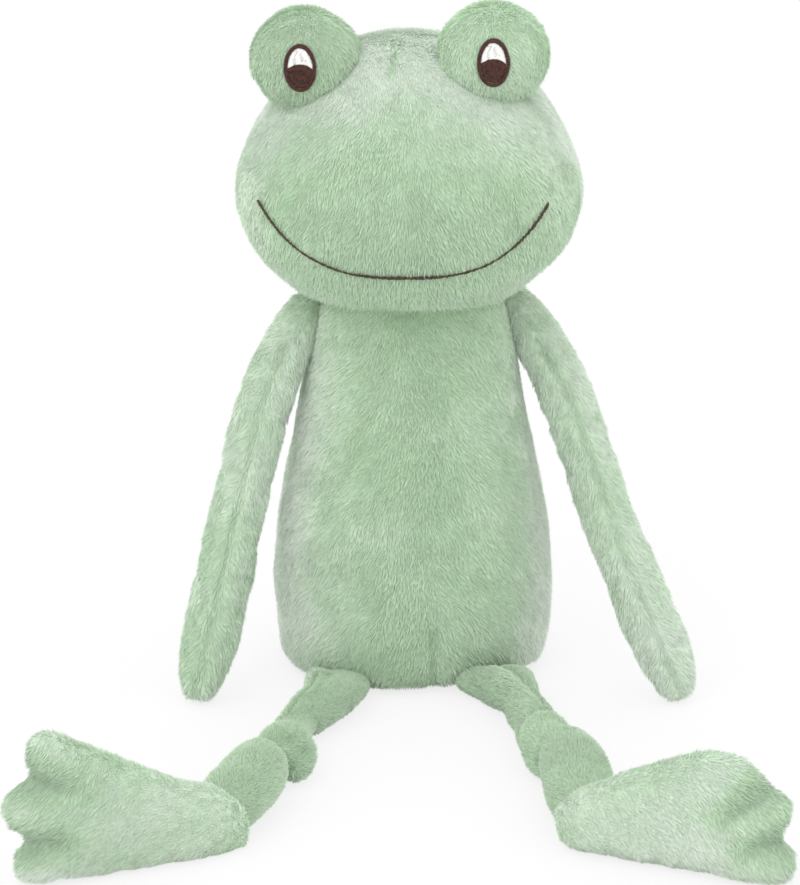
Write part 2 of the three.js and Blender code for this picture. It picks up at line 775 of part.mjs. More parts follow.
addTorso();
addHead();
Object.keys(sides).forEach(addArm);
Object.keys(sides).forEach(addLeg);

export default toy;
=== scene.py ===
"""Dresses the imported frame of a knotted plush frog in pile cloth, seams and embroidery."""

import json
import math

import bpy
import numpy as np
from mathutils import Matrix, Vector, noise
from mathutils.bvhtree import BVHTree

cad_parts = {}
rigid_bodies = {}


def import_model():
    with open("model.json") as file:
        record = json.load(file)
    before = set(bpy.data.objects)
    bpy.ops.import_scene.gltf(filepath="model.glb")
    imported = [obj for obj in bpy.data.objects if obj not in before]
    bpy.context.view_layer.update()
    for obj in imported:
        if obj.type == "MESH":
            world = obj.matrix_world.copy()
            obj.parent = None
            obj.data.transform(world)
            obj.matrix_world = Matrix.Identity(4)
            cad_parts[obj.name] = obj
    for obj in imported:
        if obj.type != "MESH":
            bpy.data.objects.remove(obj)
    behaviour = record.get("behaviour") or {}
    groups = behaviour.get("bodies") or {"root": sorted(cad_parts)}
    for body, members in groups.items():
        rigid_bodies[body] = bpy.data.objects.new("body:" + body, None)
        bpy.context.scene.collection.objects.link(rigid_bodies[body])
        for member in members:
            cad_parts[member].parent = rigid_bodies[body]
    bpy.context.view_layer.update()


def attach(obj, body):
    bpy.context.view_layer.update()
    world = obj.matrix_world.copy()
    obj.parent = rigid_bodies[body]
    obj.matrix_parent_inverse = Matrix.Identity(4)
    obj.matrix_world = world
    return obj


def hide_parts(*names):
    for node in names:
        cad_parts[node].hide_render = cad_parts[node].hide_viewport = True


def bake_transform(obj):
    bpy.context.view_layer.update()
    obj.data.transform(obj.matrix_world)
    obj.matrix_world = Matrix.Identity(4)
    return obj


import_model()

bl_info = {
    "name": "Knotted plush frog",
    "version": (1, 0, 0),
    "blender": (4, 5, 0),
    "location": "3D View > Sidebar > Plush frog",
    "description": "Builds a seated plush frog with pile cloth, sewn seams and embroidered features",
    "category": "Add Mesh",
}

MM = 0.001
SIDES = {"right": -1, "left": 1}
UP = np.array([0.0, 0.0, 1.0])
ACROSS = np.array([1.0, 0.0, 0.0])
FRONT = np.array([0.0, -1.0, 0.0])

# Torso and head, in millimetres, each in its own frame that is turned about the upright
TORSO = {
    "height": 124, "half_width": 43.9, "front": 38, "back": 38, "turn": 8, "square": 2.3, "lean": 1.4,
}
TORSO_ROWS = [
    (0, 0.83, 0.78, 0.78),
    (0.03, 0.95, 0.91, 0.91),
    (0.1, 0.995, 0.98, 0.98),
    (0.225, 1, 1, 1),
    (0.35, 0.985, 0.97, 0.955),
    (0.46, 0.94, 0.92, 0.89),
    (0.57, 0.88, 0.86, 0.82),
    (0.7, 0.82, 0.79, 0.74),
    (0.83, 0.745, 0.73, 0.66),
    (0.93, 0.7, 0.69, 0.61),
    (1.03, 0.6, 0.6, 0.53),
    (1.06, 0.3, 0.3, 0.27),
    (1.07, 0, 0, 0),
]
NECK = 124.3
HEAD = {
    "height": 80.2, "half_width": 53.6, "front": 49.5, "back": 45.5, "turn": -4, "square": 2.2, "shift": -0.5,
}
HEAD_ROWS = [
    (-0.02, 0, 0, 0),
    (-0.018, 0.3, 0.28, 0.31),
    (0, 0.54, 0.53, 0.57),
    (0.033, 0.64, 0.665, 0.71),
    (0.095, 0.755, 0.83, 0.825),
    (0.18, 0.885, 0.945, 0.92),
    (0.29, 0.965, 1, 0.978),
    (0.41, 1, 1, 1),
    (0.55, 0.955, 0.95, 0.97),
    (0.685, 0.85, 0.84, 0.89),
    (0.807, 0.71, 0.69, 0.76),
    (0.905, 0.525, 0.5, 0.585),
    (0.972, 0.336, 0.293, 0.374),
    (1, 0, 0, 0),
]

# Eye bulges: middle to the side of the head's and above the neck seam
BULGE = (17, 15.5, 15.4)
BULGE_FORWARD = 14
BULGES = {"right": (-31, 75), "left": (26, 77.4)}

# Embroidery
EYE = {
    "half_width": 4.7, "half_height": 6.9, "drop": 0.2, "rim": 1.1, "iris": 5.6, "iris_drop": 4.3,
    "rim_stitches": 118, "rim_stray": 0.12, "dark_slant": 62, "white_slant": 28, "longest": 2.2,
}
EYE_ASIDE = {"right": -1.2, "left": -0.3}
MOUTH = {
    "half_width": 43.1, "low": 16, "rise": 18.6, "power": 3.1, "shift": 0.3, "stitch": 1.3, "swell": 0.22,
    "stitches": 290, "lift": 1.15, "slant": 0.7, "stray": 0.26,
}
THREAD = {"width": 0.34, "round": 0.62}

# Arms: shoulder, path to the hand, and rows of place, half width and half depth
SHOULDER = (33.5, 117)
ARM = (9.8, 9.0)
ARMS = {
    "right": {"out": 34, "forward": 37, "bows": (4.4, 2.8)},
    "left": {"out": 52.5, "forward": 46, "bows": (4.2, 0.8)},
}
ARM_ROWS = [
    (0, 0, 0),
    (0.012, 0.3, 0.3),
    (0.04, 0.62, 0.64),
    (0.1, 0.8, 0.82),
    (0.28, 0.9, 0.93),
    (0.5, 0.92, 0.95),
    (0.7, 0.98, 0.99),
    (0.85, 0.96, 0.98),
    (0.94, 0.78, 0.8),
    (0.985, 0.44, 0.46),
    (1, 0, 0),
]

# Legs: rolls of slack cloth as rows of x, y, z, half width and half height
THIGHS = {
    "right": [
        [(-22.2, -26, 3.6, 8, 3.6), (-21.5, -38, 4.2, 8.6, 4.4), (-23, -49, 5.6, 7.6, 5.6),
         (-25.4, -56, 6.6, 6.6, 6.6),
         (-28.6, -64, 6.8, 5.6, 6.6), (-33, -71.5, 7, 4.5, 6.2), (-35, -80, 7.2, 4.6, 6.2),
         (-34.7, -92, 7.5, 5.4, 6)],
        [(-29.6, -30, 4, 4.6, 4), (-29.6, -42, 5.6, 4, 4.8), (-31, -53, 7.2, 2.8, 5),
         (-33.8, -64, 7.8, 2.5, 5.2),
         (-36.6, -73, 7.8, 2.6, 5), (-38.6, -82, 8, 2.8, 4.4), (-40, -92, 8.4, 3, 4)],
    ],
    "left": [
        [(18.2, -27, 3.6, 6.5, 3.6), (20.9, -34, 4.4, 6.4, 4.4), (26, -42, 5.4, 5.8, 5.6),
         (30.4, -52, 7.2, 5.3, 6.4),
         (34.2, -62, 8.2, 4.7, 6), (37.6, -73, 9.5, 4.7, 5.6), (39.8, -84, 10.5, 5, 5),
         (40.8, -92, 11, 4.5, 4.5)],
        [(31.4, -28, 4, 7.8, 4), (32.8, -39, 5.2, 6.8, 5), (34.6, -50, 7, 5, 5.2),
         (36.4, -60, 7.8, 3.4, 4.8),
         (39, -69, 8.2, 2.8, 4.2), (41, -80, 9, 3, 4)],
        [(31.3, -54, 4.6, 3.6, 4.4), (33.4, -64, 4.8, 3.6, 4.6), (35.8, -74, 5, 4, 4.8),
         (38.3, -90, 6, 5, 5.5)],
    ],
}
THIGH_FOLDS = {
    "right": [(-29, -42), (-30.4, -52), (-32.4, -61), (-35.2, -70), (-37.6, -78)],
    "left": [(29.4, -38), (32.4, -48), (35.4, -58), (38.8, -68), (41.2, -77)],
}
KNOTS = {
    "right": [
        [(-42.2, -105, 7, 4, 4), (-41.6, -101.5, 10.6, 4.3, 3.8), (-39.4, -98.6, 12.8, 4.6, 3.9),
         (-36, -98.8, 13.4, 4.8, 3.9),
         (-33.2, -97.6, 11, 4.8, 3.9), (-32.4, -98.2, 7.6, 4.8, 3.8),
         (-33.6, -101.5, 4.8, 4.6, 3.8), (-37.2, -106, 4.4, 4, 3.6)],
        [(-36.2, -87, 8, 5.6, 6), (-38.2, -97, 8.6, 6.6, 6.8), (-41.7, -107, 9, 7, 7)],
    ],
    "left": [
        [(44.6, -94, 9.4, 4.1, 3.5), (43, -90, 12.2, 4.1, 3.4), (40.2, -88, 13.2, 4.1, 3.4),
         (37.4, -88.2, 11.4, 4, 3.3),
         (36.6, -91, 8.6, 3.8, 3.2), (37.2, -95.6, 6, 3.8, 3.2), (39.2, -100.4, 4.8, 3.8, 3.2),
         (43.6, -104.4, 4.6, 3.6, 3.2)],
        [(38.8, -84, 9, 5.5, 6), (41.4, -94, 9, 6.4, 6.8), (44.3, -104, 9, 7, 7)],
    ],
}
SHINS = {
    "right": [(-42.2, -103, 8.6, 5.4, 6), (-44, -109, 9, 7.7, 8), (-45.6, -117, 9.2, 9, 9.1),
              (-48.8, -128, 9.2, 9.2, 9.1), (-53.2, -138, 8.8, 8.4, 8.4), (-57.2, -148, 8.4, 6, 6)],
    "left": [(43.4, -93, 9, 5.8, 5.8), (45.2, -98, 9.1, 7.6, 7.5), (47.2, -107, 9.4, 9, 8.8),
             (48.2, -118, 9.5, 9.5, 9.3), (48.8, -131, 9.2, 9.2, 9), (49.6, -147, 8.6, 6.2, 6.2)],
}
# Painted shade makes the thighs and shins darker, the left ones more, and the knots a little darker
LEG_PAINTED_SHADE = {"right": -0.1, "left": -0.16}
KNOT_PAINTED_SHADE = -0.08
HIPS = {"right": (-19.54, -36.25, 5.2), "left": (28.77, -29.46, 5.2)}
KNEES = {"right": (-42.85, -112.573, 9.626), "left": (44.758, -115.189, 9.586)}
HEELS = {"right": (-54.2, -148.5, 0), "left": (48.8, -148.5, 0)}

# Feet: outlines along the foot from the back of the heel, and up from the floor
FOOT_TURN = 21.8
FOOT_BACK = 8.6
FOOT_GROWTH = 1.025
FOOT_THICK = 6.8
FOOT_MIDDLE = {"right": (37, 20), "left": (37, 18)}
FOOT_OUTLINES = {
    "right": [
        (-0.9, 4), (-0.4, 9), (2.1, 14.4), (5, 18), (9.4, 21.2), (15.3, 23.6), (22.5, 26.8),
        (31, 31.4),
        (39.5, 36), (47.9, 40.4), (53.5, 43.9), (57.7, 45.6), (60.8, 44.8), (62.9, 42),
        (63.3, 38.2),
        (62.6, 34.6), (64.4, 32.8), (68.1, 29.8), (70.1, 26.8), (70, 22.4), (68.3, 17.9),
        (66.3, 13.9), (68.6, 10.1), (68.7, 5.3), (66.6, 1.4), (62, 0), (50, -0.7), (36, -1.5),
        (22, -2), (9, -2),
        (1.2, -0.4),
    ],
    "left": [
        (-0.9, 8), (0.6, 13.2), (5.5, 19), (12.7, 23.4), (24.3, 29.6), (32.8, 33.8), (38.5, 36.2),
        (42.7, 37.8), (47.6, 38), (52.1, 37.4), (55, 35.9), (57.4, 33), (62.2, 30.6), (66.5, 28.3),
        (68.1, 24.7), (67.9, 20.6), (66.4, 17), (68.8, 14.4), (70.3, 11), (70.4, 6.4), (68.4, 2),
        (64, 0), (52, -0.3), (38, -0.6), (24, -0.3), (11, 0), (2.8, 0.9),
    ],
}
# Valleys between the toes, from the notch back towards the heel
FOOT_WEBS = {
    "right": [((63.5, 33.5), (50, 28.5)), ((67, 14), (54, 12.5))],
    "left": [((64, 30), (49, 20)), ((67, 14), (55, 11.5))],
}

# Cloth of each kind of cover: voxel of its even mesh, how far it may swell, rounds of smoothing, and
# the length and height of its waves
CLOTHS = {
    "torso": (4.5, 1.2, 2, [(24, 1.0), (11, 0.4)]),
    "head": (4.5, 0.8, 2, [(30, 0.9), (12, 0.4)]),
    "bulge": (3, 0.6, 2, [(14, 0.4)]),
    "arm": (2.6, 1, 2, [(15, 0.5), (7, 0.25)]),
    "leg": (1.5, 0.8, 1, [(10, 0.4)]),
    "knot": (1.2, 0.8, 1, [(10, 0.4)]),
    "foot": (2.6, 1.2, 2, [(11, 0.7)]),
}
# The simulation works on an enlarged cover, with air pressed into it for a few steps, while it is
# held near the floor and near its seams
SWELLING = {"enlarged": 10, "pressure": 4.0, "shrink": -0.04, "quality": 5, "steps": 20}
HELD = {"floor": 15, "seam": 2.5}

# Darts in front and centre seams behind, as points that are dropped onto the cover
TORSO_DART = [(0.65, -50, 0.5), (0.4, -50, 12), (0.2, -50, 22)]
TORSO_BACK = [(0, 50, 2), (0, 50, 60), (0, 50, 123)]
HEAD_DART = [(-4.2, 0, 203.6), (-5, 0, 200.8), (-6.2, 0, 197)]
HEAD_BACK = [(-3, 50, NECK + 4), (-3, 50, NECK + 40), (-3, 50, NECK + 77)]

# Where the pile of the two largest covers is split into pieces, from front to back and upwards
TORSO_SPLIT = {"depth": 4, "level": 62}
HEAD_SPLIT = {"depth": 2, "level": 160}

# At a seam the pile is thinner and lies apart, and painted shade makes it darker along the seam's groove
SEAM = {"thin": 0.75, "thin_width": 0.6, "dark": 0.18, "dark_width": 1.2, "spread": 4.0}
NAP_WAVES = (24, 7)
# Near the floor the cover is bare, and it stays above it
ROOT_LEVEL = {"bare": 0.2, "least": 0.05}

# Tufts: clumps, strays, sizes, shades and how far their shading follows the cloth below
PILE = {"clumps": 200.0, "stray": 0.28, "smallest": 0.65, "largest": 1.15, "shade": 0.14, "least": 0.0001}
CLUMP = {"long": 0.9, "short": 0.75, "limit": 0.7}
TRUST = {"From Min": -0.1, "From Max": 0.6, "To Min": 0.0, "To Max": 0.85}

# Look of the pile: brushed patches, and how the depth of its colour falls where it is pale
PATCHES = {"scale": 38.0, "strength": 0.2}
DEPTH = {"fall": -4.4, "base": 0.87, "most": 0.96, "least": 0.35}
TWIST = {"scale": 900.0, "dark": 0.62, "pale": 1.3, "bump": 0.4, "height": 0.0002}

# Camera and light
CAMERA = {"x": -3.2, "height": 72.7, "distance": 1000, "elevation": 18, "focal": 3125, "long_side": 885}
LAMP = {"place": (-0.6, -0.9, 1.5), "aim": (0, -0.06, 0.09), "size": 1.1, "power": 4}
FLOOR = {"half": 6, "drop": 0.0004, "grey": 0.9, "glow": 0.8}
SKY = 1.12


def turned(points, degrees):
    """The points turned about the upright through the origin."""
    angle = math.radians(degrees)
    c, s = math.cos(angle), math.sin(angle)
    return points @ np.array([[c, s, 0], [-s, c, 0], [0, 0, 1]])


def smooth_rows(rows, count):
    """Rows at even steps on a smooth curve through the given ones."""
    rows = np.array(rows, float)
    padded = np.vstack([2 * rows[0] - rows[1], rows, 2 * rows[-1] - rows[-2]])
    place = np.linspace(0, len(rows) - 1, count + 1)
    first = np.minimum(place.astype(int), len(rows) - 2)
    t = (place - first)[:, None]
    a, b, c, d = (padded[first + step] for step in range(4))
    cubic = 3 * b - a - 3 * c + d
    square = 2 * a - 5 * b + 4 * c - d
    return 0.5 * (2 * b + (c - a) * t + square * t**2 + cubic * t**3)


def lengths_along(points):
    """The length of a path up to each of its points."""
    return np.concatenate([[0], np.cumsum(np.linalg.norm(np.diff(points, axis=0), axis=1))])


def evened(points, count, closed=False):
    """The points of a fine path, moved to steps of even length."""
    run = lengths_along(points)
    places = np.linspace(0, run[-1], count if closed else count + 1, endpoint=not closed)
    return np.stack([np.interp(places, run, column) for column in points.T], 1)


def even_path(points, count):
    """A smooth path through the points, with steps of even length."""
    return evened(smooth_rows(points, 40 * (len(points) - 1)), count)


def closed_outline(points, count):
    """A smooth closed outline through flat points, with even steps."""
    looped = np.array([*points[-2:], *points, *points[:3]], float)
    return evened(smooth_rows(looped, 20 * (len(looped) - 1))[40:-40], count, closed=True)


def unit(vectors):
    return vectors / np.maximum(np.linalg.norm(vectors, axis=-1, keepdims=True), 1e-9)


def circle(sides):
    return np.linspace(0, 2 * math.pi, sides, endpoint=False)


def skin(rings):
    """Points and faces of a closed surface over rings, whose first and last close on their middles."""
    rings = np.array(rings)
    count, across = rings.shape[:2]
    points = np.vstack([rings.reshape(-1, 3), rings[0].mean(0), rings[-1].mean(0)])
    faces = []
    for ring in range(count - 1):
        for side in range(across):
            a, b = ring * across + side, ring * across + (side + 1) % across
            faces.append((a, b, b + across, a + across))
    start, end = count * across, count * across + 1
    last = (count - 1) * across
    for side in range(across):
        after = (side + 1) % across
        faces.append((start, after, side))
        faces.append((end, last + side, last + after))
    return points, faces


def level_form(size, rows, sides, rings):
    """Level rings, wider than deep, from rows of height, half width, front and back."""
    angles = circle(sides)
    power = 2 / size["square"]
    wide = np.sign(np.cos(angles)) * np.abs(np.cos(angles)) ** power
    deep = np.sign(np.sin(angles)) * np.abs(np.sin(angles)) ** power
    made = []
    for high, width, front, back in smooth_rows(rows, rings)[1:-1]:
        reach = np.where(deep < 0, size["front"] * front, size["back"] * back)
        x = size["half_width"] * max(width, 0.01) * wide
        z = np.full(sides, size["height"] * high)
        made.append(np.stack([x, np.maximum(reach, 0.01) * deep, z], 1))
    return skin(made)


def tube_form(path, rows, hint, sides, rings):
    """A limb along a path, from rows of place, half width and half depth. Its width follows the hint."""
    made = []
    tangents = unit(np.gradient(path, axis=0))
    steps = len(path) - 1
    angles = circle(sides)[:, None]
    for place, width, depth in smooth_rows(rows, rings)[1:-1]:
        spot = np.clip(place, 0, 1) * steps
        low = min(int(spot), steps - 1)
        middle = path[low] + (path[low + 1] - path[low]) * (spot - low)
        tangent = unit(tangents[low] + (tangents[low + 1] - tangents[low]) * (spot - low))
        wide = unit(hint - tangent * (hint @ tangent))
        deep = np.cross(tangent, wide)
        made.append(
            middle + max(width, 0.02) * np.cos(angles) * wide + max(depth, 0.02) * np.sin(angles) * deep
        )
    return skin(made)


def roll_form(rows, sides=20, rings=40):
    """A limb of slack cloth with round ends, from rows of x, y, z, half width and half height."""
    rows = smooth_rows(rows, rings)
    middles, halves = rows[:, :3], rows[:, 3:]
    run = lengths_along(middles)
    near_end = np.minimum(run, run[-1] - run)
    cap = np.clip(near_end / halves.max(1), 0.02, 1)
    halves = halves * np.sqrt(1 - (1 - cap) ** 2)[:, None]
    tangents = unit(np.gradient(middles, axis=0))
    wide = unit(np.cross(tangents, UP) + 1e-6 * ACROSS)
    for row in range(1, len(wide)):
        if wide[row] @ wide[row - 1] < 0:
            wide[row] *= -1
    deep = np.cross(tangents, wide)
    angles = circle(sides)[None, :, None]
    across, high = (wide * halves[:, :1])[:, None], (deep * halves[:, 1:])[:, None]
    return skin(middles[:, None] + (np.cos(angles) * across + np.sin(angles) * high))


def joined(forms):
    """The points and faces of several forms as one."""
    points, faces = [], []
    for form_points, form_faces in forms:
        base = sum(len(each) for each in points)
        points.append(form_points)
        faces += [tuple(corner + base for corner in face) for face in form_faces]
    return np.vstack(points), faces


def object_from(name, points, faces):
    """A mesh object at the origin from points in millimetres, with its faces outwards."""
    mesh = bpy.data.meshes.new(name)
    mesh.from_pydata((np.asarray(points) * MM).tolist(), [], faces)
    mesh.update()
    mesh.polygons.foreach_set("use_smooth", [True] * len(mesh.polygons))
    if volume_of(mesh) < 0:
        mesh.flip_normals()
    return linked(name, mesh)


def linked(name, data):
    """A new object with the data, in the scene."""
    piece = bpy.data.objects.new(name, data)
    bpy.context.scene.collection.objects.link(piece)
    return piece


def numbers_of(items, name, kind=float, width=3):
    """What each item of a mesh has under the name, as rows of an array."""
    flat = np.empty(width * len(items), kind)
    items.foreach_get(name, flat)
    return flat.reshape(-1, width)


def points_of(mesh):
    """The mesh's points, in millimetres."""
    return numbers_of(mesh.vertices, "co") / MM


def normals_of(mesh):
    return numbers_of(mesh.vertex_normals, "vector")


def volume_of(mesh):
    """Six times the volume inside the mesh, below 0 where its faces point inwards."""
    mesh.calc_loop_triangles()
    corners = numbers_of(mesh.loop_triangles, "vertices", int)
    a, b, c = points_of(mesh)[corners].transpose(1, 0, 2)
    return float(np.einsum("ij,ij->i", a, np.cross(b, c)).sum())


def set_points(mesh, points):
    mesh.vertices.foreach_set("co", (np.asarray(points) * MM).ravel())
    mesh.update()


def apply_modifiers(piece):
    """Turns what the modifiers make into the piece's own mesh, and removes them."""
    graph = bpy.context.evaluated_depsgraph_get()
    mesh = bpy.data.meshes.new_from_object(piece.evaluated_get(graph), depsgraph=graph)
    old = piece.data
    piece.modifiers.clear()
    piece.data = mesh
    mesh.name = piece.name
    bpy.data.meshes.remove(old)


def near_path(points, path):
    """For each point: the distance to the path, the nearest place on it and its direction there."""
    best = np.full(len(points), np.inf)
    spot, way = np.zeros_like(points), np.zeros_like(points)
    for start, span in zip(path[:-1], np.diff(path, axis=0)):
        share = np.clip(((points - start) @ span) / max(span @ span, 1e-9), 0, 1)
        place = start + share[:, None] * span
        gap = np.linalg.norm(points - place, axis=1)
        closer = gap < best
        best[closer], spot[closer], way[closer] = gap[closer], place[closer], unit(span)
    return best, spot, way


def bell(gap, width, power=2):
    """1 where the gap is nothing, and falling to nothing beyond the width."""
    return np.exp(-((gap / width) ** power))


def wavy(points, scale, seed):
    """Smooth noise from -1 to 1 at each point. Scale is the length of its waves."""
    shift = Vector((seed * 17.3, seed * 5.1, seed * 9.7))
    return np.array([noise.noise(Vector(point) / scale + shift) for point in points])


def sew(mesh, seams, depth, width=1.1):
    """Draws the surface in along seams, with a low roll on either side."""
    points, normals = points_of(mesh), normals_of(mesh)
    for seam in seams:
        gap = near_path(points, seam)[0]
        groove = -depth * bell(gap, width)
        roll = 0.32 * depth * bell(gap - 2.8 * width, 1.3 * width)
        points += normals * (groove + roll)[:, None]
    set_points(mesh, points)


def store(mesh, name, values):
    """Keeps a number or a direction for each point of the mesh."""
    values = np.asarray(values, np.float32)
    kind, field = ("FLOAT_VECTOR", "vector") if values.ndim == 2 else ("FLOAT", "value")
    attribute = mesh.attributes.get(name) or mesh.attributes.new(name, kind, "POINT")
    attribute.data.foreach_set(field, values.ravel())


def forget(mesh, *names):
    """Removes what was stored under the names."""
    for name in names:
        if name in mesh.attributes:
            mesh.attributes.remove(mesh.attributes[name])


def lay_nap(mesh, comb, growth, pale, seams, seed, parting):
    """Stores the way the pile lies, how well it grows, and how pale its painted light and shade make it."""
    points, normals = points_of(mesh), normals_of(mesh)
    comb = np.array(comb, float)
    growth = np.array(growth, float)
    for seam in seams:
        gap, spot, _ = near_path(points, seam)
        comb += parting * bell(gap, SEAM["spread"])[:, None] * unit(points - spot)
        growth *= 1 - SEAM["thin"] * bell(gap, SEAM["thin_width"])
        # Painted shade darkens the pile along the seam's groove
        pale = pale - SEAM["dark"] * bell(gap, SEAM["dark_width"])
    broad, narrow = (wavy(points, length, seed + 50 * step) for step, length in enumerate(NAP_WAVES))
    comb += (0.5 * broad + 0.5 * narrow)[:, None] * np.cross(normals, comb)
    comb -= normals * np.einsum("ij,ij->i", comb, normals)[:, None]
    for name, values in (("comb", comb), ("growth", growth), ("pale", pale)):
        store(mesh, name, values)


# Node trees


def add_node(tree, kind, inputs=None, **settings):
    """A node with its settings, its inputs set or linked by name or place."""
    node = tree.nodes.new(kind)
    for key, value in settings.items():
        setattr(node, key, value)
    for key, value in (inputs or {}).items():
        socket = node.inputs[key]
        if isinstance(value, bpy.types.NodeSocket):
            tree.links.new(value, socket)
        else:
            socket.default_value = value
    return node


def changed(tree, kind, geometry, inputs=None, **settings):
    """The geometry after a node that changes it."""
    return add_node(tree, kind, {"Geometry": geometry, **(inputs or {})}, **settings).outputs[0]


def math_node(tree, operation, *values):
    return add_node(tree, "ShaderNodeMath", dict(enumerate(values)), operation=operation).outputs[0]


def vector_node(tree, operation, *values, scale=None):
    inputs = dict(enumerate(values))
    if scale is not None:
        inputs["Scale"] = scale
    return add_node(tree, "ShaderNodeVectorMath", inputs, operation=operation).outputs[0]


def combined(tree, *values):
    """A vector from its three numbers."""
    return add_node(tree, "ShaderNodeCombineXYZ", dict(enumerate(values))).outputs[0]


def parted(tree, vector):
    """The three numbers of a vector, by their letters."""
    return add_node(tree, "ShaderNodeSeparateXYZ", {0: vector}).outputs


def noise_node(tree, place, scale, detail=2.0):
    return add_node(
        tree, "ShaderNodeTexNoise", {"Vector": place, "Scale": scale, "Detail": detail}
    ).outputs


def named(tree, name, kind="FLOAT"):
    node = add_node(tree, "GeometryNodeInputNamedAttribute", {"Name": name}, data_type=kind)
    return node.outputs["Attribute"]


def stored(tree, geometry, name, value, kind="FLOAT", domain="INSTANCE"):
    """The geometry with the value kept under the name."""
    inputs = {"Name": name, "Value": value}
    return changed(
        tree, "GeometryNodeStoreNamedAttribute", geometry, inputs, data_type=kind, domain=domain
    )


def random_number(tree, low, high, seed, step):
    inputs = {2: low, 3: high, "Seed": math_node(tree, "ADD", seed, float(step))}
    return add_node(tree, "FunctionNodeRandomValue", inputs, data_type="FLOAT").outputs[1]


def stood_on(tree, points, instance, way, scale):
    """One instance on each point, with its Z along the way there."""
    turn = add_node(tree, "FunctionNodeAlignRotationToVector", {"Vector": way}, axis="Z").outputs[0]
    inputs = {"Points": points, "Instance": instance, "Rotation": turn, "Scale": scale}
    return add_node(tree, "GeometryNodeInstanceOnPoints", inputs).outputs[0]


def new_tree(name, sockets):
    """A geometry tree with one geometry in and out, and the named inputs. Returns its two ends."""
    tree = bpy.data.node_groups.new(name, "GeometryNodeTree")
    tree.is_modifier = True
    for way in ("INPUT", "OUTPUT"):
        tree.interface.new_socket("Geometry", in_out=way, socket_type="NodeSocketGeometry")
    kinds = {float: "NodeSocketFloat", int: "NodeSocketInt", type(None): "NodeSocketMaterial"}
    for label, default in sockets.items():
        kind = kinds[type(default)]
        socket = tree.interface.new_socket(label, in_out="INPUT", socket_type=kind)
        if default is not None:
            socket.default_value = default
    return tree, tree.nodes.new("NodeGroupInput").outputs, tree.nodes.new("NodeGroupOutput").inputs


def hand_on(tree, ends, geometry, material):
    """Gives the geometry its material and hands it on."""
    dressed = changed(tree, "GeometryNodeSetMaterial", geometry, {"Material": material})
    tree.links.new(dressed, ends["Geometry"])
    return tree


def run_tree(piece, tree, values):
    """Runs the tree on the piece with its inputs set by identifier, and keeps what it makes."""
    modifier = piece.modifiers.new("Maker", "NODES")
    modifier.node_group = tree
    for item in tree.interface.items_tree:
        if item.item_type == "SOCKET" and item.in_out == "INPUT" and item.name in values:
            modifier[item.identifier] = values[item.name]
    apply_modifiers(piece)


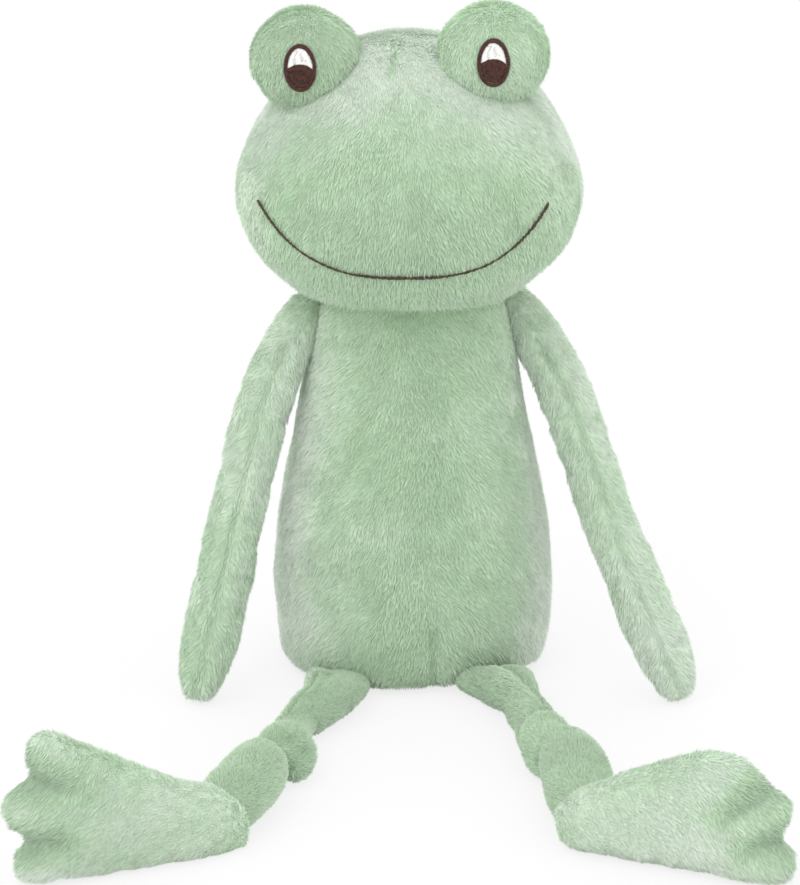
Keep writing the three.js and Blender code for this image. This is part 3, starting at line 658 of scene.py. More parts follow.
def pile_tree():
    """Tapered tufts that stand all over a cover and lean the way that its nap is combed."""
    sizes = {"Density": 3.5e6, "Length": 0.003, "Radius": 0.0002, "Lean": 2.2, "Stray": 0.5, "Clump": 1.2}
    tree, given, ends = new_tree("Pile", {**sizes, "Seed": 1, "Material": None})
    density = math_node(tree, "MULTIPLY", given["Density"], named(tree, "growth"))
    scatter = add_node(
        tree,
        "GeometryNodeDistributePointsOnFaces",
        {"Mesh": given["Geometry"], "Density": density, "Seed": given["Seed"]},
    ).outputs
    place = tree.nodes.new("GeometryNodeInputPosition").outputs[0]

    # Way that each tuft leans: the nap, clumps and a little of its own
    patches = noise_node(tree, place, PILE["clumps"], 1.0)["Color"]
    patches = vector_node(tree, "SUBTRACT", patches, (0.5, 0.5, 0.5))
    clump = vector_node(tree, "SCALE", patches, scale=given["Clump"])
    cube = {0: (-1, -1, -1), 1: (1, 1, 1), "Seed": given["Seed"]}
    stray = add_node(tree, "FunctionNodeRandomValue", cube, data_type="FLOAT_VECTOR").outputs[0]
    loose = vector_node(tree, "ADD", clump, vector_node(tree, "SCALE", stray, scale=given["Stray"]))
    lean = vector_node(tree, "SCALE", named(tree, "comb", "FLOAT_VECTOR"), scale=given["Lean"])
    way = vector_node(tree, "ADD", scatter["Normal"], vector_node(tree, "ADD", lean, loose))

    # The tufts
    shape = {"Vertices": 3, "Side Segments": 1, "Radius Top": 0.0, "Radius Bottom": 1.0, "Depth": 1.0}
    tuft = add_node(tree, "GeometryNodeMeshCone", shape).outputs["Mesh"]
    tuft = stored(tree, tuft, "along", parted(tree, place)["Z"], domain="POINT")
    size = random_number(tree, PILE["smallest"], PILE["largest"], given["Seed"], 7)
    length = math_node(tree, "MULTIPLY", given["Length"], size)
    length = math_node(tree, "MULTIPLY", length, named(tree, "tall"))
    scale = combined(tree, given["Radius"], given["Radius"], length)
    made = stood_on(tree, scatter["Points"], tuft, way, scale)
    # Each tuft keeps the painted light and shade that the nap gives the cloth at its root
    made = stored(tree, made, "tone", named(tree, "pale"))
    shade = random_number(tree, -PILE["shade"], PILE["shade"], given["Seed"], 3)
    made = stored(tree, made, "shade", shade)
    made = stored(tree, made, "facing", scatter["Normal"], kind="FLOAT_VECTOR")
    made = changed(tree, "GeometryNodeRealizeInstances", made)
    apart = parted(tree, place)
    above = math_node(tree, "MAXIMUM", apart["Z"], PILE["least"])
    kept = combined(tree, apart["X"], apart["Y"], above)
    made = changed(tree, "GeometryNodeSetPosition", made, {"Position": kept})
    made = changed(tree, "GeometryNodeSetShadeSmooth", made)

    # Shading: each face is lit partly as the cloth below it
    facing = named(tree, "facing", "FLOAT_VECTOR")
    own = tree.nodes.new("GeometryNodeInputNormal").outputs[0]
    agrees = add_node(tree, "ShaderNodeVectorMath", {0: facing, 1: own}, operation="DOT_PRODUCT")
    reach = {"Value": agrees.outputs["Value"], **TRUST}
    trust = add_node(tree, "ShaderNodeMapRange", reach).outputs[0]
    lifted = vector_node(tree, "SCALE", vector_node(tree, "SUBTRACT", facing, own), scale=trust)
    even = vector_node(tree, "NORMALIZE", vector_node(tree, "ADD", own, lifted))
    soft = add_node(
        tree, "GeometryNodeSetMeshNormal", {"Mesh": made, "Custom Normal": even}, mode="FREE", domain="FACE"
    ).outputs[0]
    bare = changed(tree, "GeometryNodeRemoveAttribute", soft, {"Name": "facing"})
    return hand_on(tree, ends, bare, given["Material"])


def stitch_tree():
    """Short threads that lie on given points, each along its own way."""
    tree, given, ends = new_tree("Stitches", {"Radius": 0.00017, "Material": None})
    shape = {"Segments": 6, "Rings": 6, "Radius": 1.0}
    thread = add_node(tree, "GeometryNodeMeshUVSphere", shape).outputs["Mesh"]
    way = named(tree, "way", "FLOAT_VECTOR")
    scale = combined(tree, given["Radius"], given["Radius"], named(tree, "half_length"))
    laid = stood_on(tree, given["Geometry"], thread, way, scale)
    real = changed(tree, "GeometryNodeRealizeInstances", laid)
    smooth = changed(tree, "GeometryNodeSetShadeSmooth", real)
    return hand_on(tree, ends, smooth, given["Material"])


# Materials


def new_material(name, **numbers):
    """A node material with its shader's inputs set. Returns it with its tree and its shader's inputs."""
    material = bpy.data.materials.new(name)
    material.use_nodes = True
    inputs = material.node_tree.nodes["Principled BSDF"].inputs
    for key, value in numbers.items():
        inputs[key.replace("_", " ")].default_value = value
    return material, material.node_tree, inputs


def ramp(tree, factor, stops):
    node = add_node(tree, "ShaderNodeValToRGB", {"Fac": factor})
    for element, (place, colour) in zip(node.color_ramp.elements, stops):
        element.position = place
        element.color = (*colour, 1)
    return node.outputs["Color"]


def mixed(tree, share, first, second):
    """Two shaders as one, the second by the share."""
    return add_node(tree, "ShaderNodeMixShader", {0: share, 1: first, 2: second}).outputs[0]


def emptied_tree(data):
    """The node tree of a material or a world, without nodes."""
    data.use_nodes = True
    data.node_tree.nodes.clear()
    return data.node_tree


def attribute_node(tree, name):
    return add_node(tree, "ShaderNodeAttribute", attribute_name=name).outputs["Fac"]


def pile_material():
    """Short pile: darker at its roots with painted shade deep in the pile, each tuft a little different,
    brushed in patches.
    """
    colours = bpy.context.scene.frog_colours
    material, tree, shader = new_material(
        "pile_cloth",
        Roughness=0.8,
        Sheen_Weight=1.0,
        Sheen_Roughness=0.5,
        Sheen_Tint=(0.93, 1.0, 0.93, 1),
        Specular_IOR_Level=0.15,
    )
    place = add_node(tree, "ShaderNodeTexCoord").outputs["Object"]
    # Painted shade: the colour darkens from the tip down to the root
    shade = ramp(tree, attribute_node(tree, "along"), [(0.0, colours.pile_shaded_root), (0.8, colours.pile_tip)])
    patches = noise_node(tree, place, PATCHES["scale"])["Fac"]
    patch = math_node(tree, "MULTIPLY_ADD", patches, PATCHES["strength"], -PATCHES["strength"] / 2)
    # The cloth's painted light and shade, with its brushed patches
    light = math_node(tree, "ADD", attribute_node(tree, "tone"), patch)
    value = math_node(tree, "ADD", light, attribute_node(tree, "shade"))
    value = math_node(tree, "ADD", value, 1.0)
    depth = math_node(tree, "MULTIPLY_ADD", light, DEPTH["fall"], DEPTH["base"])
    depth = math_node(tree, "MINIMUM", depth, DEPTH["most"])
    depth = math_node(tree, "MAXIMUM", depth, DEPTH["least"])
    inputs = {"Value": value, "Saturation": depth, "Color": shade}
    colour = add_node(tree, "ShaderNodeHueSaturation", inputs).outputs[0]
    tree.links.new(colour, shader["Base Color"])
    return material


def thread_material(name):
    """Glossy embroidery thread with its twist, in the colour that the panel has under the name."""
    colour = np.array(tuple(getattr(bpy.context.scene.frog_colours, name)))
    material, tree, shader = new_material(name, Roughness=0.6, Specular_IOR_Level=0.3)
    place = add_node(tree, "ShaderNodeTexCoord").outputs["Object"]
    spots = noise_node(tree, place, TWIST["scale"])["Fac"]
    stops = [(0.3, TWIST["dark"] * colour), (0.7, np.minimum(1, TWIST["pale"] * colour))]
    tree.links.new(ramp(tree, spots, stops), shader["Base Color"])
    inputs = {"Strength": TWIST["bump"], "Distance": TWIST["height"], "Height": spots}
    tree.links.new(add_node(tree, "ShaderNodeBump", inputs).outputs[0], shader["Normal"])
    return material


def pile_cloth():
    return bpy.data.materials.get("pile_cloth") or pile_material()


def thread(name):
    return bpy.data.materials.get(name) or thread_material(name)


# Covers and their pile


def enlarge(piece, times):
    set_points(piece.data, points_of(piece.data) * times)


def swell(piece, give, holds):
    """Blows an enlarged cover up as cloth that is held at its seams and at the floor."""
    scene, times = bpy.context.scene, SWELLING["enlarged"]
    rest = points_of(piece.data)
    held = np.clip(1 - rest[:, 2] / HELD["floor"], 0, 1) ** 0.5
    for seam in holds:
        held = np.maximum(held, bell(near_path(rest / times, seam)[0], HELD["seam"]))
    group = piece.vertex_groups.new(name="held")
    for number, weight in enumerate(held):
        group.add([number], float(weight), "REPLACE")
    cloth = piece.modifiers.new("Cloth", "CLOTH")
    cloth.settings.quality = SWELLING["quality"]
    cloth.settings.vertex_group_mass = "held"
    cloth.settings.use_pressure = True
    cloth.settings.uniform_pressure_force = SWELLING["pressure"]
    cloth.settings.shrink_min = SWELLING["shrink"]
    cloth.settings.effector_weights.gravity = 0
    cloth.point_cache.frame_end = SWELLING["steps"]
    for step in range(1, SWELLING["steps"] + 1):
        scene.frame_set(step)
    graph = bpy.context.evaluated_depsgraph_get()
    moved = points_of(piece.evaluated_get(graph).data) - rest
    far = np.linalg.norm(moved, axis=1, keepdims=True)
    moved *= np.minimum(1, give * times / np.maximum(far, 1e-6))
    piece.modifiers.clear()
    piece.vertex_groups.clear()
    set_points(piece.data, rest + moved)
    scene.frame_set(1)


def pad_out(piece, kind, seed, holds=()):
    """Evens the cover's mesh, blows it up a little, smooths it and makes it wavy."""
    voxel, give, rounds, waves = CLOTHS[kind]
    times = SWELLING["enlarged"]
    enlarge(piece, times)
    mesher = piece.modifiers.new("Even", "REMESH")
    mesher.mode = "VOXEL"
    mesher.voxel_size = voxel * MM * times
    mesher.use_smooth_shade = True
    apply_modifiers(piece)
    swell(piece, give, holds)
    enlarge(piece, 1 / times)
    rounder = piece.modifiers.new("Smooth", "SUBSURF")
    rounder.levels = rounder.render_levels = rounds
    apply_modifiers(piece)
    points, normals = points_of(piece.data), normals_of(piece.data)
    for number, (length, height) in enumerate(waves):
        points += normals * (height * wavy(points, length, seed + number))[:, None]
    set_points(piece.data, points)


def clothe(cover, body, nodes, comb, seams, seed, growth=1.0, length=1.0, parts=None,
           pale=0.0, parting=1.1, bend=None):
    """Sinks a finished cover to its pile's roots, lays its nap, and grows the pile in one or more parts."""
    rise = bpy.context.scene.frog_sizes.pile_rise / MM
    points = points_of(cover.data)
    pale = np.zeros(len(points)) + pale
    points -= normals_of(cover.data) * rise * length
    growth = np.where(points[:, 2] < ROOT_LEVEL["bare"], 0.0, growth)
    points[:, 2] = np.maximum(points[:, 2], ROOT_LEVEL["least"])
    set_points(cover.data, points)
    lay_nap(cover.data, comb, growth, pale, seams, seed, parting)
    cover.data.materials.clear()
    cover.data.materials.append(pile_cloth())
    for number, (name, part) in enumerate((parts or {"pile": None}).items()):
        pile = grow_pile(cover, cover.name.replace("plush", name), seed + 100 * number, length, part)
        go_with(pile, body, bend)
    forget(cover.data, "comb", "growth", "pale", "tall")
    # Painted shade: the cloth under the tufts takes a colour near the darker roots and is made a little
    # darker still, besides its nap's painted light and shade
    store(cover.data, "along", np.full(len(points), 0.3))
    store(cover.data, "tone", pale - 0.05)
    go_with(cover, body, bend)
    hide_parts(*nodes)


def go_with(piece, body, bend=None):
    """Makes a piece ride on a body. Where a bend is given, it only bakes the piece's place into its mesh, and
    the piece rides on no body.
    """
    if bend is None:
        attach(piece, body)
    else:
        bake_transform(piece)


def grow_pile(cover, name, seed, length, part):
    """Grows the pile of a cover, or of a part of it, as one mesh."""
    sizes = bpy.context.scene.frog_sizes
    points = points_of(cover.data)
    piece = linked(name, cover.data.copy())
    if "tall" not in piece.data.attributes:
        store(piece.data, "tall", np.ones(len(points)))
    if part is not None:
        growth = numbers_of(piece.data.attributes["growth"].data, "value", np.float32, 1)[:, 0]
        store(piece.data, "growth", growth * part(points))
    values = {
        "Density": sizes.pile_density * 1e6 / min(length, 1),
        "Length": sizes.pile_length * length,
        "Radius": sizes.tuft_radius,
        "Lean": sizes.pile_lean,
        "Stray": PILE["stray"],
        "Clump": CLUMP["long"] if length > CLUMP["limit"] else CLUMP["short"],
        "Seed": seed,
        "Material": pile_cloth(),
    }
    run_tree(piece, bpy.data.node_groups.get("Pile") or pile_tree(), values)
    forget(piece.data, "comb", "growth", "pale", "tall")
    return piece


def parts_of(split):
    """The pieces of a large cover's pile: the lower and the upper front, and the back."""
    depth, level = split["depth"], split["level"]
    return (
        lambda points: (points[:, 1] < depth) & (points[:, 2] < level),
        lambda points: (points[:, 1] < depth) & (points[:, 2] >= level),
        lambda points: points[:, 1] >= depth,
    )


def lay_stitches(name, places, ways, half_lengths, body, nodes, slot, material):
    """Lays one thread on each place, along its way."""
    piece = object_from(name, places, [])
    store(piece.data, "way", ways)
    store(piece.data, "half_length", np.asarray(half_lengths) * MM)
    tree = bpy.data.node_groups.get("Stitches") or stitch_tree()
    run_tree(piece, tree, {"Radius": THREAD["width"] * MM * THREAD["round"], "Material": material})
    forget(piece.data, "way", "half_length")
    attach(piece, body)
    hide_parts(*nodes)


# Places on covers


def tree_of(cover):
    """A search tree over a cover, in millimetres."""
    points = [Vector(point) for point in points_of(cover.data)]
    return BVHTree.FromPolygons(points, [tuple(face.vertices) for face in cover.data.polygons])


def dropped(cover, places, way):
    """Where lines from the places along the way meet the cover."""
    tree = tree_of(cover)
    hits = [tree.ray_cast(Vector(place), Vector(way))[0] for place in places]
    return np.array([tuple(hit) for hit in hits if hit is not None])


def on_front(cover, points, steps, from_back=False):
    """The points dropped onto the front or back of a cover, along Y, with steps between them."""
    side = -1 if from_back else 1
    path = even_path(points, steps * len(points))
    path[:, 1] = -300 * side
    return dropped(cover, path, (0, side, 0))


def on_top(cover, places):
    """The places dropped onto the top of a cover."""
    path = even_path([(x, y, 0) for x, y in places], 8 * len(places))
    path[:, 2] = 100
    return dropped(cover, path, (0, 0, -1))


def outside(tree, point, margin):
    """1 where the point lies outside the cover in the tree by the margin, else 0."""
    near, normal = tree.find_nearest(Vector(point))[:2]
    return float((Vector(point) - near).dot(normal) > margin)


def bulge_middle(side):
    out, rise = BULGES[side]
    return turned(np.array([[out, -BULGE_FORWARD, rise]]), HEAD["turn"])[0] + UP * NECK


def mouth_path(cover):
    share = np.linspace(-1, 1, 25)
    high = MOUTH["low"] + MOUTH["rise"] * np.abs(share) ** MOUTH["power"]
    points = np.stack([MOUTH["half_width"] * share + MOUTH["shift"], np.full(25, -38.0), high], 1)
    return on_front(cover, turned(points, HEAD["turn"]) + UP * NECK, 4)


def arm_path(side):
    """The arm's middle line, from inside the shoulder to the hand."""
    hand, arm = SIDES[side], ARMS[side]
    start = turned(np.array([[hand * SHOULDER[0], 0, SHOULDER[1]]]), TORSO["turn"])[0]
    tip = np.array([hand * arm["out"], -arm["forward"], 0.3 - SHOULDER[1]])
    bends = [share * tip + hand * bow * ACROSS for share, bow in zip((0.2, 0.6), arm["bows"])]
    inside = np.array([-hand * 5.0, 1.0, 7.0])
    return even_path(start + np.array([inside, np.zeros(3), *bends, tip]), 60)


def size_setting(label, text, value, **settings):
    return bpy.props.FloatProperty(name=label, description=text, default=value, **settings)


def colour_setting(label, text, value):
    return bpy.props.FloatVectorProperty(name=label, description=text, default=value, subtype="COLOR")


class FrogSizes(bpy.types.PropertyGroup):
    """Sizes that set how the cloth looks."""

    pile_length: size_setting("Pile length", "Length of a tuft of pile", 0.0022, unit="LENGTH")
    tuft_radius: size_setting("Tuft radius", "Radius of a tuft at its root", 0.00026, unit="LENGTH")
    pile_density: size_setting("Pile density", "Tufts on a square millimetre", 2.8)
    pile_lean: size_setting("Pile lean", "How far the pile leans over, 0 for upright", 2.1)
    pile_rise: size_setting("Pile rise", "How far the pile stands off the cloth", 0.0009, unit="LENGTH")


class FrogColours(bpy.types.PropertyGroup):
    """Colours of the cloth and the threads."""

    # The pile's darker root colour is painted shade deep in the pile
    pile_shaded_root: colour_setting("Pile root", "Colour of the pile at its roots", (0.48, 0.67, 0.45))
    pile_tip: colour_setting("Pile tip", "Colour of the pile at its tips", (0.66, 0.82, 0.62))
    dark_thread: colour_setting("Dark thread", "Colour of the rims and irises", (0.08, 0.03, 0.024))
    mouth_thread: colour_setting("Mouth thread", "Colour of the mouth", (0.078, 0.056, 0.034))
    white_thread: colour_setting("White thread", "Colour of the whites of the eyes", (0.7, 0.71, 0.7))


class FROG_OT_torso(bpy.types.Operator):
    """Makes the torso's cover with its two centre seams and its pile"""

    bl_idname = "frog.torso"
    bl_label = "Torso"

    def execute(self, context):
        turn = TORSO["turn"]
        points, faces = level_form(TORSO, TORSO_ROWS, 40, 36)
        points[:, 0] += TORSO["lean"] * np.clip(1 - points[:, 2] / TORSO["height"], 0, 1)
        cover = object_from("torso_plush", turned(points, turn), faces)
        seams = [
            on_front(cover, turned(np.array(TORSO_DART), turn), 8),
            on_front(cover, turned(np.array(TORSO_BACK), turn), 25, from_back=True),
        ]
        pad_out(cover, "torso", 3, seams)
        sew(cover.data, seams, 0.7)

        # The nap lies down and away from the middle. Painted sheen makes it paler towards the sides
        points = points_of(cover.data)
        local = turned(points, -turn)
        side = np.tanh(local[:, :1] / 16)
        comb = -0.8 * UP + 0.6 * side * turned(ACROSS[None], turn)
        comb *= 0.6 + 0.4 * np.abs(side)
        growth = (points[:, 2] < 125).astype(float)
        pale = 0.17 * np.abs(local[:, 0] / TORSO["half_width"]) ** 3 - 0.02
        parts = dict(zip(("pile_front", "pile_chest", "pile_back"), parts_of(TORSO_SPLIT)))
        nodes = ("torso_cover", "torso_filling", "seat_pellet_bag")
        clothe(cover, "torso", nodes, comb, seams, 11, growth, parts=parts, pale=pale, parting=0.5)
        return {"FINISHED"}


class FROG_OT_head(bpy.types.Operator):
    """Makes the head's cover with its dart, its centre seam and its pile"""

    bl_idname = "frog.head"
    bl_label = "Head"

    def execute(self, context):
        points, faces = level_form(HEAD, HEAD_ROWS, 44, 36)
        points = turned(points, HEAD["turn"]) + UP * NECK + ACROSS * HEAD["shift"]
        cover = object_from("head_plush", points, faces)
        dart = on_front(cover, HEAD_DART, 8)
        back = on_front(cover, HEAD_BACK, 20, from_back=True)
        pad_out(cover, "head", 5, [back])
        sew(cover.data, [dart], 0.6, 0.9)
        sew(cover.data, [back], 0.7)

        # The nap lies down, away from the middle and, on the crown, forwards
        points = points_of(cover.data)
        side = np.tanh((points[:, :1] + 3) / 18)
        crown = np.clip((points[:, 2:] - 182) / 16, 0, 1)
        comb = -0.85 * UP + 0.4 * side * ACROSS + (0.45 + 0.5 * crown) * FRONT

        # It leaves the neck, the bulges and the mouth bare
        growth = (points[:, 2] > NECK + 1).astype(float)
        for each in SIDES:
            gap = np.linalg.norm((points - bulge_middle(each)) / BULGE, axis=1) - 1
            growth *= np.clip((gap * 16 + 0.2) / 1.2, 0, 1)
        clear = 0.42 + 0.3 * wavy(points, 5, 8)
        growth *= np.clip((near_path(points, mouth_path(cover))[0] - clear) / 0.4, 0, 1)

        # Painted light makes it paler at the sides, the brow, the chin and the crown
        pale = 0.14 * np.abs(points[:, 0] / HEAD["half_width"]) ** 2
        pale += 0.17 * np.clip((points[:, 2] - 160) / 35, 0, 1)
        pale += 0.1 * np.clip((142 - points[:, 2]) / 12, 0, 1) + 0.05 * crown[:, 0] - 0.1
        parts = dict(zip(("pile_face", "pile_brow", "pile_back"), parts_of(HEAD_SPLIT)))
        nodes = ("head_cover", "head_filling")
        clothe(cover, "head", nodes, comb, [dart, back], 13, growth, parts=parts, pale=pale, parting=0.0)
        return {"FINISHED"}


class FROG_OT_bulges(bpy.types.Operator):
    """Makes the two eye bulges with their round seams and pile"""

    bl_idname = "frog.bulges"
    bl_label = "Eye bulges"

    def execute(self, context):
        head = tree_of(bpy.data.objects["head_plush"])
        turns = np.radians(np.linspace(-90, 90, 19))
        rows = [(math.sin(turn), *[math.cos(turn)] * 3) for turn in turns]
        wide, deep, high = BULGE
        size = {"height": high, "half_width": wide, "front": deep, "back": deep, "square": 2}
        angles = np.linspace(-0.2 * math.pi, 1.2 * math.pi, 50)
        rim = np.stack([wide * np.cos(angles), np.full(50, -3.2), 0.97 * high * np.sin(angles)], 1)
        for number, side in enumerate(SIDES):
            middle = bulge_middle(side)
            points, faces = level_form(size, rows, 32, 20)
            cover = object_from(f"eye_bulge_plush_{side}", points + middle, faces)
            seams = [middle + rim]
            pad_out(cover, "bulge", 7 + number, seams)
            sew(cover.data, seams, 0.9)
            points = points_of(cover.data)
            aside = np.tanh((points[:, :1] - middle[0]) / 8)
            comb = -0.7 * UP + 0.3 * aside * ACROSS + 0.4 * FRONT

            # No pile grows under the embroidered eye or inside the head
            oval = np.hypot(
                (points[:, 0] - middle[0] - EYE_ASIDE[side]) / (EYE["half_width"] + 0.2),
                (points[:, 2] - middle[2] + EYE["drop"]) / (EYE["half_height"] + 0.2),
            )
            growth = np.where((oval < 1) & (points[:, 1] < middle[1]), 0.0, 1.0)
            growth *= [outside(head, point, 0.8) for point in points]
            nodes = (f"eye_bulge_cover_{side}", f"eye_bulge_filling_{side}")
            # Painted shade makes the right bulge darker than the left
            pale = 0.1 * number - 0.1
            clothe(cover, "head", nodes, comb, seams, 17 + number, growth, length=0.8, pale=pale, parting=0.3)
        return {"FINISHED"}


class FROG_OT_eyes(bpy.types.Operator):
    """Embroiders the two oval eyes"""

    bl_idname = "frog.eyes"
    bl_label = "Embroidered eyes"

    def execute(self, context):
        rng = np.random.default_rng(5)
        for side in SIDES:
            tree = tree_of(bpy.data.objects[f"eye_bulge_plush_{side}"])
            middle = bulge_middle(side) - UP * EYE["drop"] + ACROSS * EYE_ASIDE[side]

            def lift(spot, height):
                start = Vector((middle[0] + spot[0], -300, middle[2] + spot[1]))
                hit, normal = tree.ray_cast(start, Vector((0, 1, 0)))[:2]
                return np.array(hit) + np.array(normal) * height

            rim = self.rim(lift, rng)
            for layer, colour in (("dark", "brown"), ("white", "white")):
                places, ways, longs = self.fill(lift, layer == "dark")
                if layer == "dark":
                    places, ways, longs = places + rim[0], ways + rim[1], longs + rim[2]
                name, nodes = f"eye_{layer}_stitches_{side}", (f"eye_{layer}_{side}",)
                slot, material = f"{colour}_thread", thread(f"{layer}_thread")
                lay_stitches(name, places, ways, longs, "head", nodes, slot, material)
        return {"FINISHED"}

    def rim(self, lift, rng):
        """Stitches across the oval's edge, all the way round."""
        places, ways, longs = [], [], []
        size = np.array([EYE["half_width"], EYE["half_height"]])
        for t in circle(EYE["rim_stitches"]):
            round_spot = np.array([math.cos(t), math.sin(t)])
            reach = EYE["rim"] + rng.uniform(-EYE["rim_stray"], EYE["rim_stray"])
            edge = size * round_spot
            p, q = lift(edge, 1.0), lift(edge - unit(round_spot / size) * reach, 1.15)
            places.append((p + q) / 2)
            ways.append(q - p)
            longs.append(np.linalg.norm(q - p) / 2 + 0.12)
        return places, ways, longs

    def fill(self, lift, dark):
        """Slanting rows of stitches over the iris, or over the white around it."""
        places, ways, longs = [], [], []
        slant = math.radians(EYE["dark_slant"] if dark else EYE["white_slant"])
        along = np.array([math.cos(slant), math.sin(slant)])
        cross = np.array([-along[1], along[0]])
        inner = (EYE["half_width"] - EYE["rim"] + 0.1, EYE["half_height"] - EYE["rim"] + 0.1)
        run = np.arange(-9, 9, 0.05)
        for number, row in enumerate(np.arange(-9, 9, THREAD["width"] * 0.8)):
            spots = cross * row + along * run[:, None]
            inside = np.hypot(*(spots / inner).T) < 1
            in_iris = np.hypot(spots[:, 0], spots[:, 1] + EYE["iris_drop"]) < EYE["iris"]
            wanted = inside & (in_iris == dark)
            edges = np.flatnonzero(np.diff(np.concatenate([[0], wanted, [0]])))
            for first, last in zip(edges[::2], edges[1::2] - 1):
                pieces = max(1, round((run[last] - run[first]) / EYE["longest"]))
                cuts = np.linspace(run[first], run[last], pieces + 1)
                cuts[1:-1] += 0.35 * (number % 3 - 1)
                for low, high in zip(cuts[:-1], cuts[1:]):
                    p, q = (lift(cross * row + along * end, 0.85) for end in (low, high))
                    places.append((p + q) / 2)
                    ways.append(q - p)
                    longs.append((high - low) / 2 + 0.1)
        return places, ways, longs


class FROG_OT_mouth(bpy.types.Operator):
    """Embroiders the smile in satin stitch"""

    bl_idname = "frog.mouth"
    bl_label = "Mouth"

    def execute(self, context):
        cover = bpy.data.objects["head_plush"]
        path = even_path(mouth_path(cover), MOUTH["stitches"])
        tree = tree_of(cover)
        tangents = unit(np.gradient(path, axis=0))
        rng = np.random.default_rng(6)
        places, ways, longs = [], [], []
        for point, tangent, share in zip(path, tangents, np.linspace(0, 1, len(path))):
            near, normal = (np.array(each) for each in tree.find_nearest(Vector(point))[:2])
            places.append(near + normal * MOUTH["lift"])
            ways.append(unit(np.cross(normal, tangent) + MOUTH["slant"] * tangent))
            wide = MOUTH["stitch"] * (1 + MOUTH["swell"] * math.cos(4 * math.pi * share))
            longs.append(wide / 2 + rng.uniform(-MOUTH["stray"], MOUTH["stray"]))
        name, nodes, material = "mouth_stitches", ("mouth_stitching",), thread("mouth_thread")
        lay_stitches(name, places, ways, longs, "head", nodes, "brown_thread", material)
        return {"FINISHED"}


class FROG_OT_arms(bpy.types.Operator):
    """Makes the two long arms with their front seams and pile"""

    bl_idname = "frog.arms"
    bl_label = "Arms"

    def execute(self, context):
        rows = [(along, ARM[0] * wide, ARM[1] * deep) for along, wide, deep in ARM_ROWS]
        for number, (side, hand) in enumerate(SIDES.items()):
            path = arm_path(side)
            points, faces = tube_form(path, rows, ACROSS, 20, 50)
            cover = object_from(f"arm_plush_{side}", points, faces)
            seams = [on_front(cover, path[8::4] + np.array([hand * 1.2, -100.0, 0]), 3)]
            pad_out(cover, "arm", 31 + number, seams)
            sew(cover.data, seams, 0.8)
            points = points_of(cover.data)
            _, spot, way = near_path(points, path)
            comb = 0.95 * way + 0.3 * unit(points - spot) * ACROSS
            nodes = (f"arm_cover_{side}", f"arm_filling_{side}")
            # Painted light makes the arms paler, the left one more than the right
            pale = 0.04 + 0.03 * number
            clothe(cover, f"arm_{side}", nodes, comb, seams, 41 + number, pale=pale)
        return {"FINISHED"}


def slack_limb(node, rolls, body, seed, pale, folds=(), kind="leg", bend=None):
    """A cover of slack cloth rolls grown into one, with short pile combed along it."""
    cover = object_from(f"{node}_plush", *joined([roll_form(rows) for rows in rolls]))
    pad_out(cover, kind, seed)
    seams = [on_top(cover, fold) for fold in folds]
    sew(cover.data, seams, 1.7)
    points = points_of(cover.data)
    spot = near_path(points, np.array(rolls[0])[:, :3])[1]
    comb = 0.3 * unit(points - spot) * ACROSS - 0.5 * FRONT
    clothe(cover, body, (node,), comb, seams, seed, length=0.62, pale=pale, bend=bend)


def bend_over(before, place, rows, first, last, back, ahead):
    """The blend from the body before, over a joint's place, along the way between two rows."""
    way = unit(np.array(rows[last][:3]) - np.array(rows[first][:3]))
    return before, np.array(place) - back * way, np.array(place) + ahead * way


class FROG_OT_thighs(bpy.types.Operator):
    """Makes the two slack thighs with their lengthwise folds"""

    bl_idname = "frog.thighs"
    bl_label = "Thighs"

    def execute(self, context):
        for number, side in enumerate(SIDES):
            rolls, folds = THIGHS[side], [THIGH_FOLDS[side]]
            bend = bend_over("torso", HIPS[side], rolls[0], 1, 4, 6, 8)
            node, body = f"thigh_{side}", f"leg_{side}"
            slack_limb(node, rolls, body, 61 + number, LEG_PAINTED_SHADE[side], folds, bend=bend)
        return {"FINISHED"}


class FROG_OT_knots(bpy.types.Operator):
    """Makes the two knots, each a turn of the leg's tube wrapped round its core"""

    bl_idname = "frog.knots"
    bl_label = "Knots"

    def execute(self, context):
        for number, side in enumerate(SIDES):
            node, body = f"knee_knot_{side}", f"leg_{side}"
            slack_limb(node, KNOTS[side], body, 63 + number, KNOT_PAINTED_SHADE, kind="knot")
        return {"FINISHED"}


class FROG_OT_shins(bpy.types.Operator):
    """Makes the two stuffed shins that leave the knots"""

    bl_idname = "frog.shins"
    bl_label = "Shins"

    def execute(self, context):
        for number, side in enumerate(SIDES):
            bend = bend_over(f"leg_{side}", KNEES[side], SHINS[side], 1, 3, 7, 7)
            node = f"shin_{side}"
            slack_limb(node, [SHINS[side]], node, 65 + number, LEG_PAINTED_SHADE[side], bend=bend)
        return {"FINISHED"}


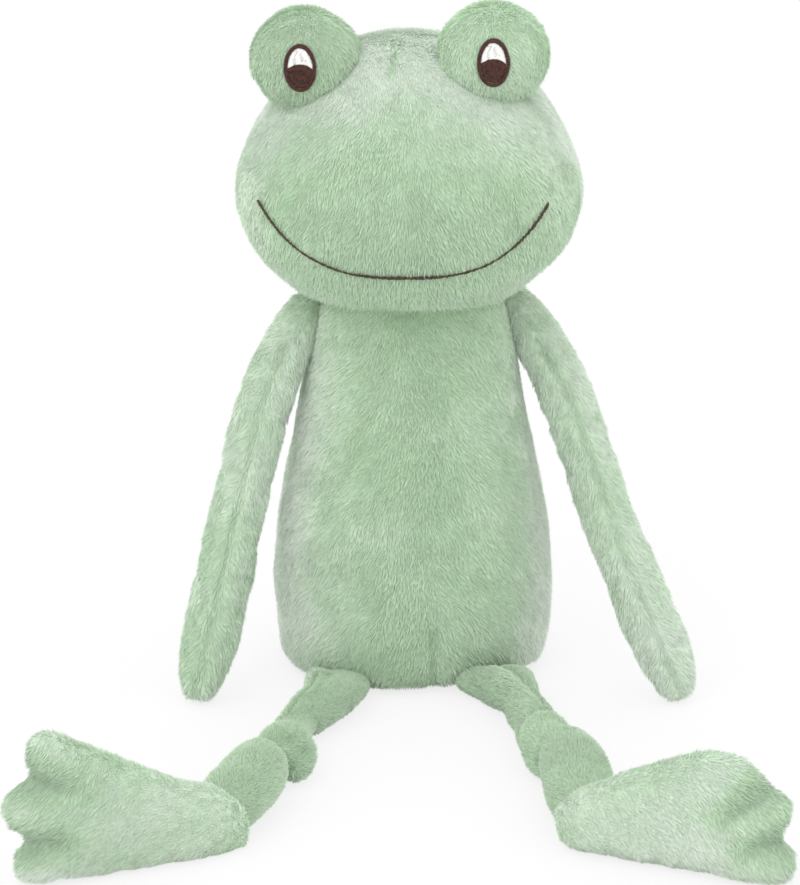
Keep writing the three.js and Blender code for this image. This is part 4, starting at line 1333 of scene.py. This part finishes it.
class FROG_OT_feet(bpy.types.Operator):
    """Makes the two webbed feet with their long pile"""

    bl_idname = "frog.feet"
    bl_label = "Webbed feet"

    def execute(self, context):
        for number, (side, hand) in enumerate(SIDES.items()):
            heel = np.array(HEELS[side], float)
            points, faces = skin(list(self.rings(side, hand)))
            points = turned(points, -hand * FOOT_TURN) + heel
            cover = object_from(f"foot_plush_{side}", points, faces)
            pad_out(cover, "foot", 71 + number)
            along = turned(np.array([[hand, 0, 0.0]]), -hand * FOOT_TURN)[0]
            points = points_of(cover.data)
            reach = np.clip((points - heel) @ along / 60, 0, 1)
            comb = 0.8 * along - (0.1 + 0.5 * reach[:, None]) * UP
            # Painted light makes the foot a little paler, and painted shade darkens it along the valleys
            # between the toes
            pale = np.full(len(points), 0.055)
            valleys = []
            for web in FOOT_WEBS[side]:
                line = np.array([[hand * (x - FOOT_BACK), 0, z] for x, z in web])
                line = turned(line, -hand * FOOT_TURN) + heel
                pale -= 0.24 * bell(near_path(points, line)[0], 7.4, 4)
                valleys.append(on_front(cover, line, 8))
            store(cover.data, "tall", 0.7 + 0.4 * reach)
            nodes = (f"foot_cover_{side}", f"foot_filling_{side}")
            clothe(cover, f"foot_{side}", nodes, comb, valleys, 75 + number, length=0.85,
                   pale=pale, parting=0.7)
        return {"FINISHED"}

    def rings(self, side, hand):
        """The foot's outline at steps through its thickness, thinner at the webs between the toes."""
        edge = closed_outline(FOOT_OUTLINES[side], 90)
        middle = np.array(FOOT_MIDDLE[side], float)
        for level in np.arange(1, 16) / 8 - 1:
            reach = math.cos(level * math.pi / 2)
            flat = middle + FOOT_GROWTH * (edge - middle) * reach
            thick = np.full(len(flat), FOOT_THICK * math.sqrt(1 - reach**3.2))
            for start, end in FOOT_WEBS[side]:
                line = np.array([(*start, 0.0), (*end, 0.0)])
                gap, spot, _ = near_path(np.column_stack([flat, np.zeros(len(flat))]), line)
                fade = np.clip((spot[:, 0] - end[0]) / (start[0] - end[0]), 0, 1)
                thick *= 1 - 0.8 * fade * bell(gap, 3)
            yield np.column_stack([hand * (flat[:, 0] - FOOT_BACK), np.sign(level) * thick, flat[:, 1]])


class FROG_OT_stage(bpy.types.Operator):
    """Sets the floor, the lights and the camera"""

    bl_idname = "frog.stage"
    bl_label = "Stage"

    def execute(self, context):
        scene = context.scene
        scene.view_settings.view_transform = "Standard"
        self.floor()
        scene.world = self.world()
        self.lamp()
        scene.camera = self.camera()
        return {"FINISHED"}

    def floor(self):
        half = FLOOR["half"]
        mesh = bpy.data.meshes.new("floor")
        corners = [(-half, -half, 0), (half, -half, 0), (half, half, 0), (-half, half, 0)]
        mesh.from_pydata(corners, [], [(0, 1, 2, 3)])
        floor = linked("floor", mesh)
        floor.location.z = -FLOOR["drop"]
        material = bpy.data.materials.new("floor_white")
        tree = emptied_tree(material)
        colour = (FLOOR["grey"], FLOOR["grey"], FLOOR["grey"], 1)
        plain = add_node(tree, "ShaderNodeBsdfDiffuse", {"Color": colour}).outputs[0]
        glow = add_node(tree, "ShaderNodeEmission", {"Color": (1, 1, 1, 1), "Strength": 1.0}).outputs[0]
        ray = add_node(tree, "ShaderNodeLightPath").outputs["Is Camera Ray"]
        share = math_node(tree, "MULTIPLY", ray, FLOOR["glow"])
        add_node(tree, "ShaderNodeOutputMaterial", {"Surface": mixed(tree, share, plain, glow)})
        mesh.materials.append(material)

    def world(self):
        world = bpy.data.worlds.new("studio")
        tree = emptied_tree(world)
        path = add_node(tree, "ShaderNodeLightPath").outputs
        seen = math_node(tree, "MAXIMUM", path["Is Camera Ray"], path["Is Glossy Ray"])
        soft, white = (
            add_node(tree, "ShaderNodeBackground", {"Color": (1, 1, 1, 1), "Strength": strength}).outputs[0]
            for strength in (SKY, 1.0)
        )
        add_node(tree, "ShaderNodeOutputWorld", {"Surface": mixed(tree, seen, soft, white)})
        return world

    def lamp(self):
        data = bpy.data.lights.new("key", "AREA")
        data.shape = "DISK"
        data.size = LAMP["size"]
        data.energy = LAMP["power"]
        lamp = linked("key", data)
        lamp.location = LAMP["place"]
        way = Vector(LAMP["aim"]) - Vector(LAMP["place"])
        lamp.rotation_euler = way.to_track_quat("-Z", "Y").to_euler()

    def camera(self):
        elevation = math.radians(CAMERA["elevation"])
        reach = CAMERA["distance"] * MM
        data = bpy.data.cameras.new("camera")
        data.sensor_width = 36
        data.lens = CAMERA["focal"] / CAMERA["long_side"] * data.sensor_width
        data.clip_end = 20
        camera = linked("camera", data)
        camera.location = (
            CAMERA["x"] * MM,
            -reach * math.cos(elevation),
            CAMERA["height"] * MM + reach * math.sin(elevation),
        )
        camera.rotation_euler = (math.pi / 2 - elevation, 0, 0)
        return camera


class FROG_PT_panel(bpy.types.Panel):
    """Lists the steps and the settings"""

    bl_idname = "FROG_PT_panel"
    bl_label = "Plush frog"
    bl_space_type = "VIEW_3D"
    bl_region_type = "UI"
    bl_category = "Plush frog"

    def draw(self, context):
        column = self.layout.column()
        for step in STEPS:
            column.operator(step.bl_idname)
        for group in (context.scene.frog_sizes, context.scene.frog_colours):
            for name in group.__annotations__:
                column.prop(group, name)


STEPS = (
    FROG_OT_torso,
    FROG_OT_head,
    FROG_OT_bulges,
    FROG_OT_eyes,
    FROG_OT_mouth,
    FROG_OT_arms,
    FROG_OT_thighs,
    FROG_OT_knots,
    FROG_OT_shins,
    FROG_OT_feet,
    FROG_OT_stage,
)
CLASSES = (FrogSizes, FrogColours, *STEPS, FROG_PT_panel)


def register():
    for each in CLASSES:
        bpy.utils.register_class(each)
    bpy.types.Scene.frog_sizes = bpy.props.PointerProperty(type=FrogSizes)
    bpy.types.Scene.frog_colours = bpy.props.PointerProperty(type=FrogColours)


def unregister():
    del bpy.types.Scene.frog_colours
    del bpy.types.Scene.frog_sizes
    for each in reversed(CLASSES):
        bpy.utils.unregister_class(each)


def main():
    register()
    for step in STEPS:
        group, name = step.bl_idname.split(".")
        getattr(getattr(bpy.ops, group), name)()


if __name__ == "__main__":
    main()
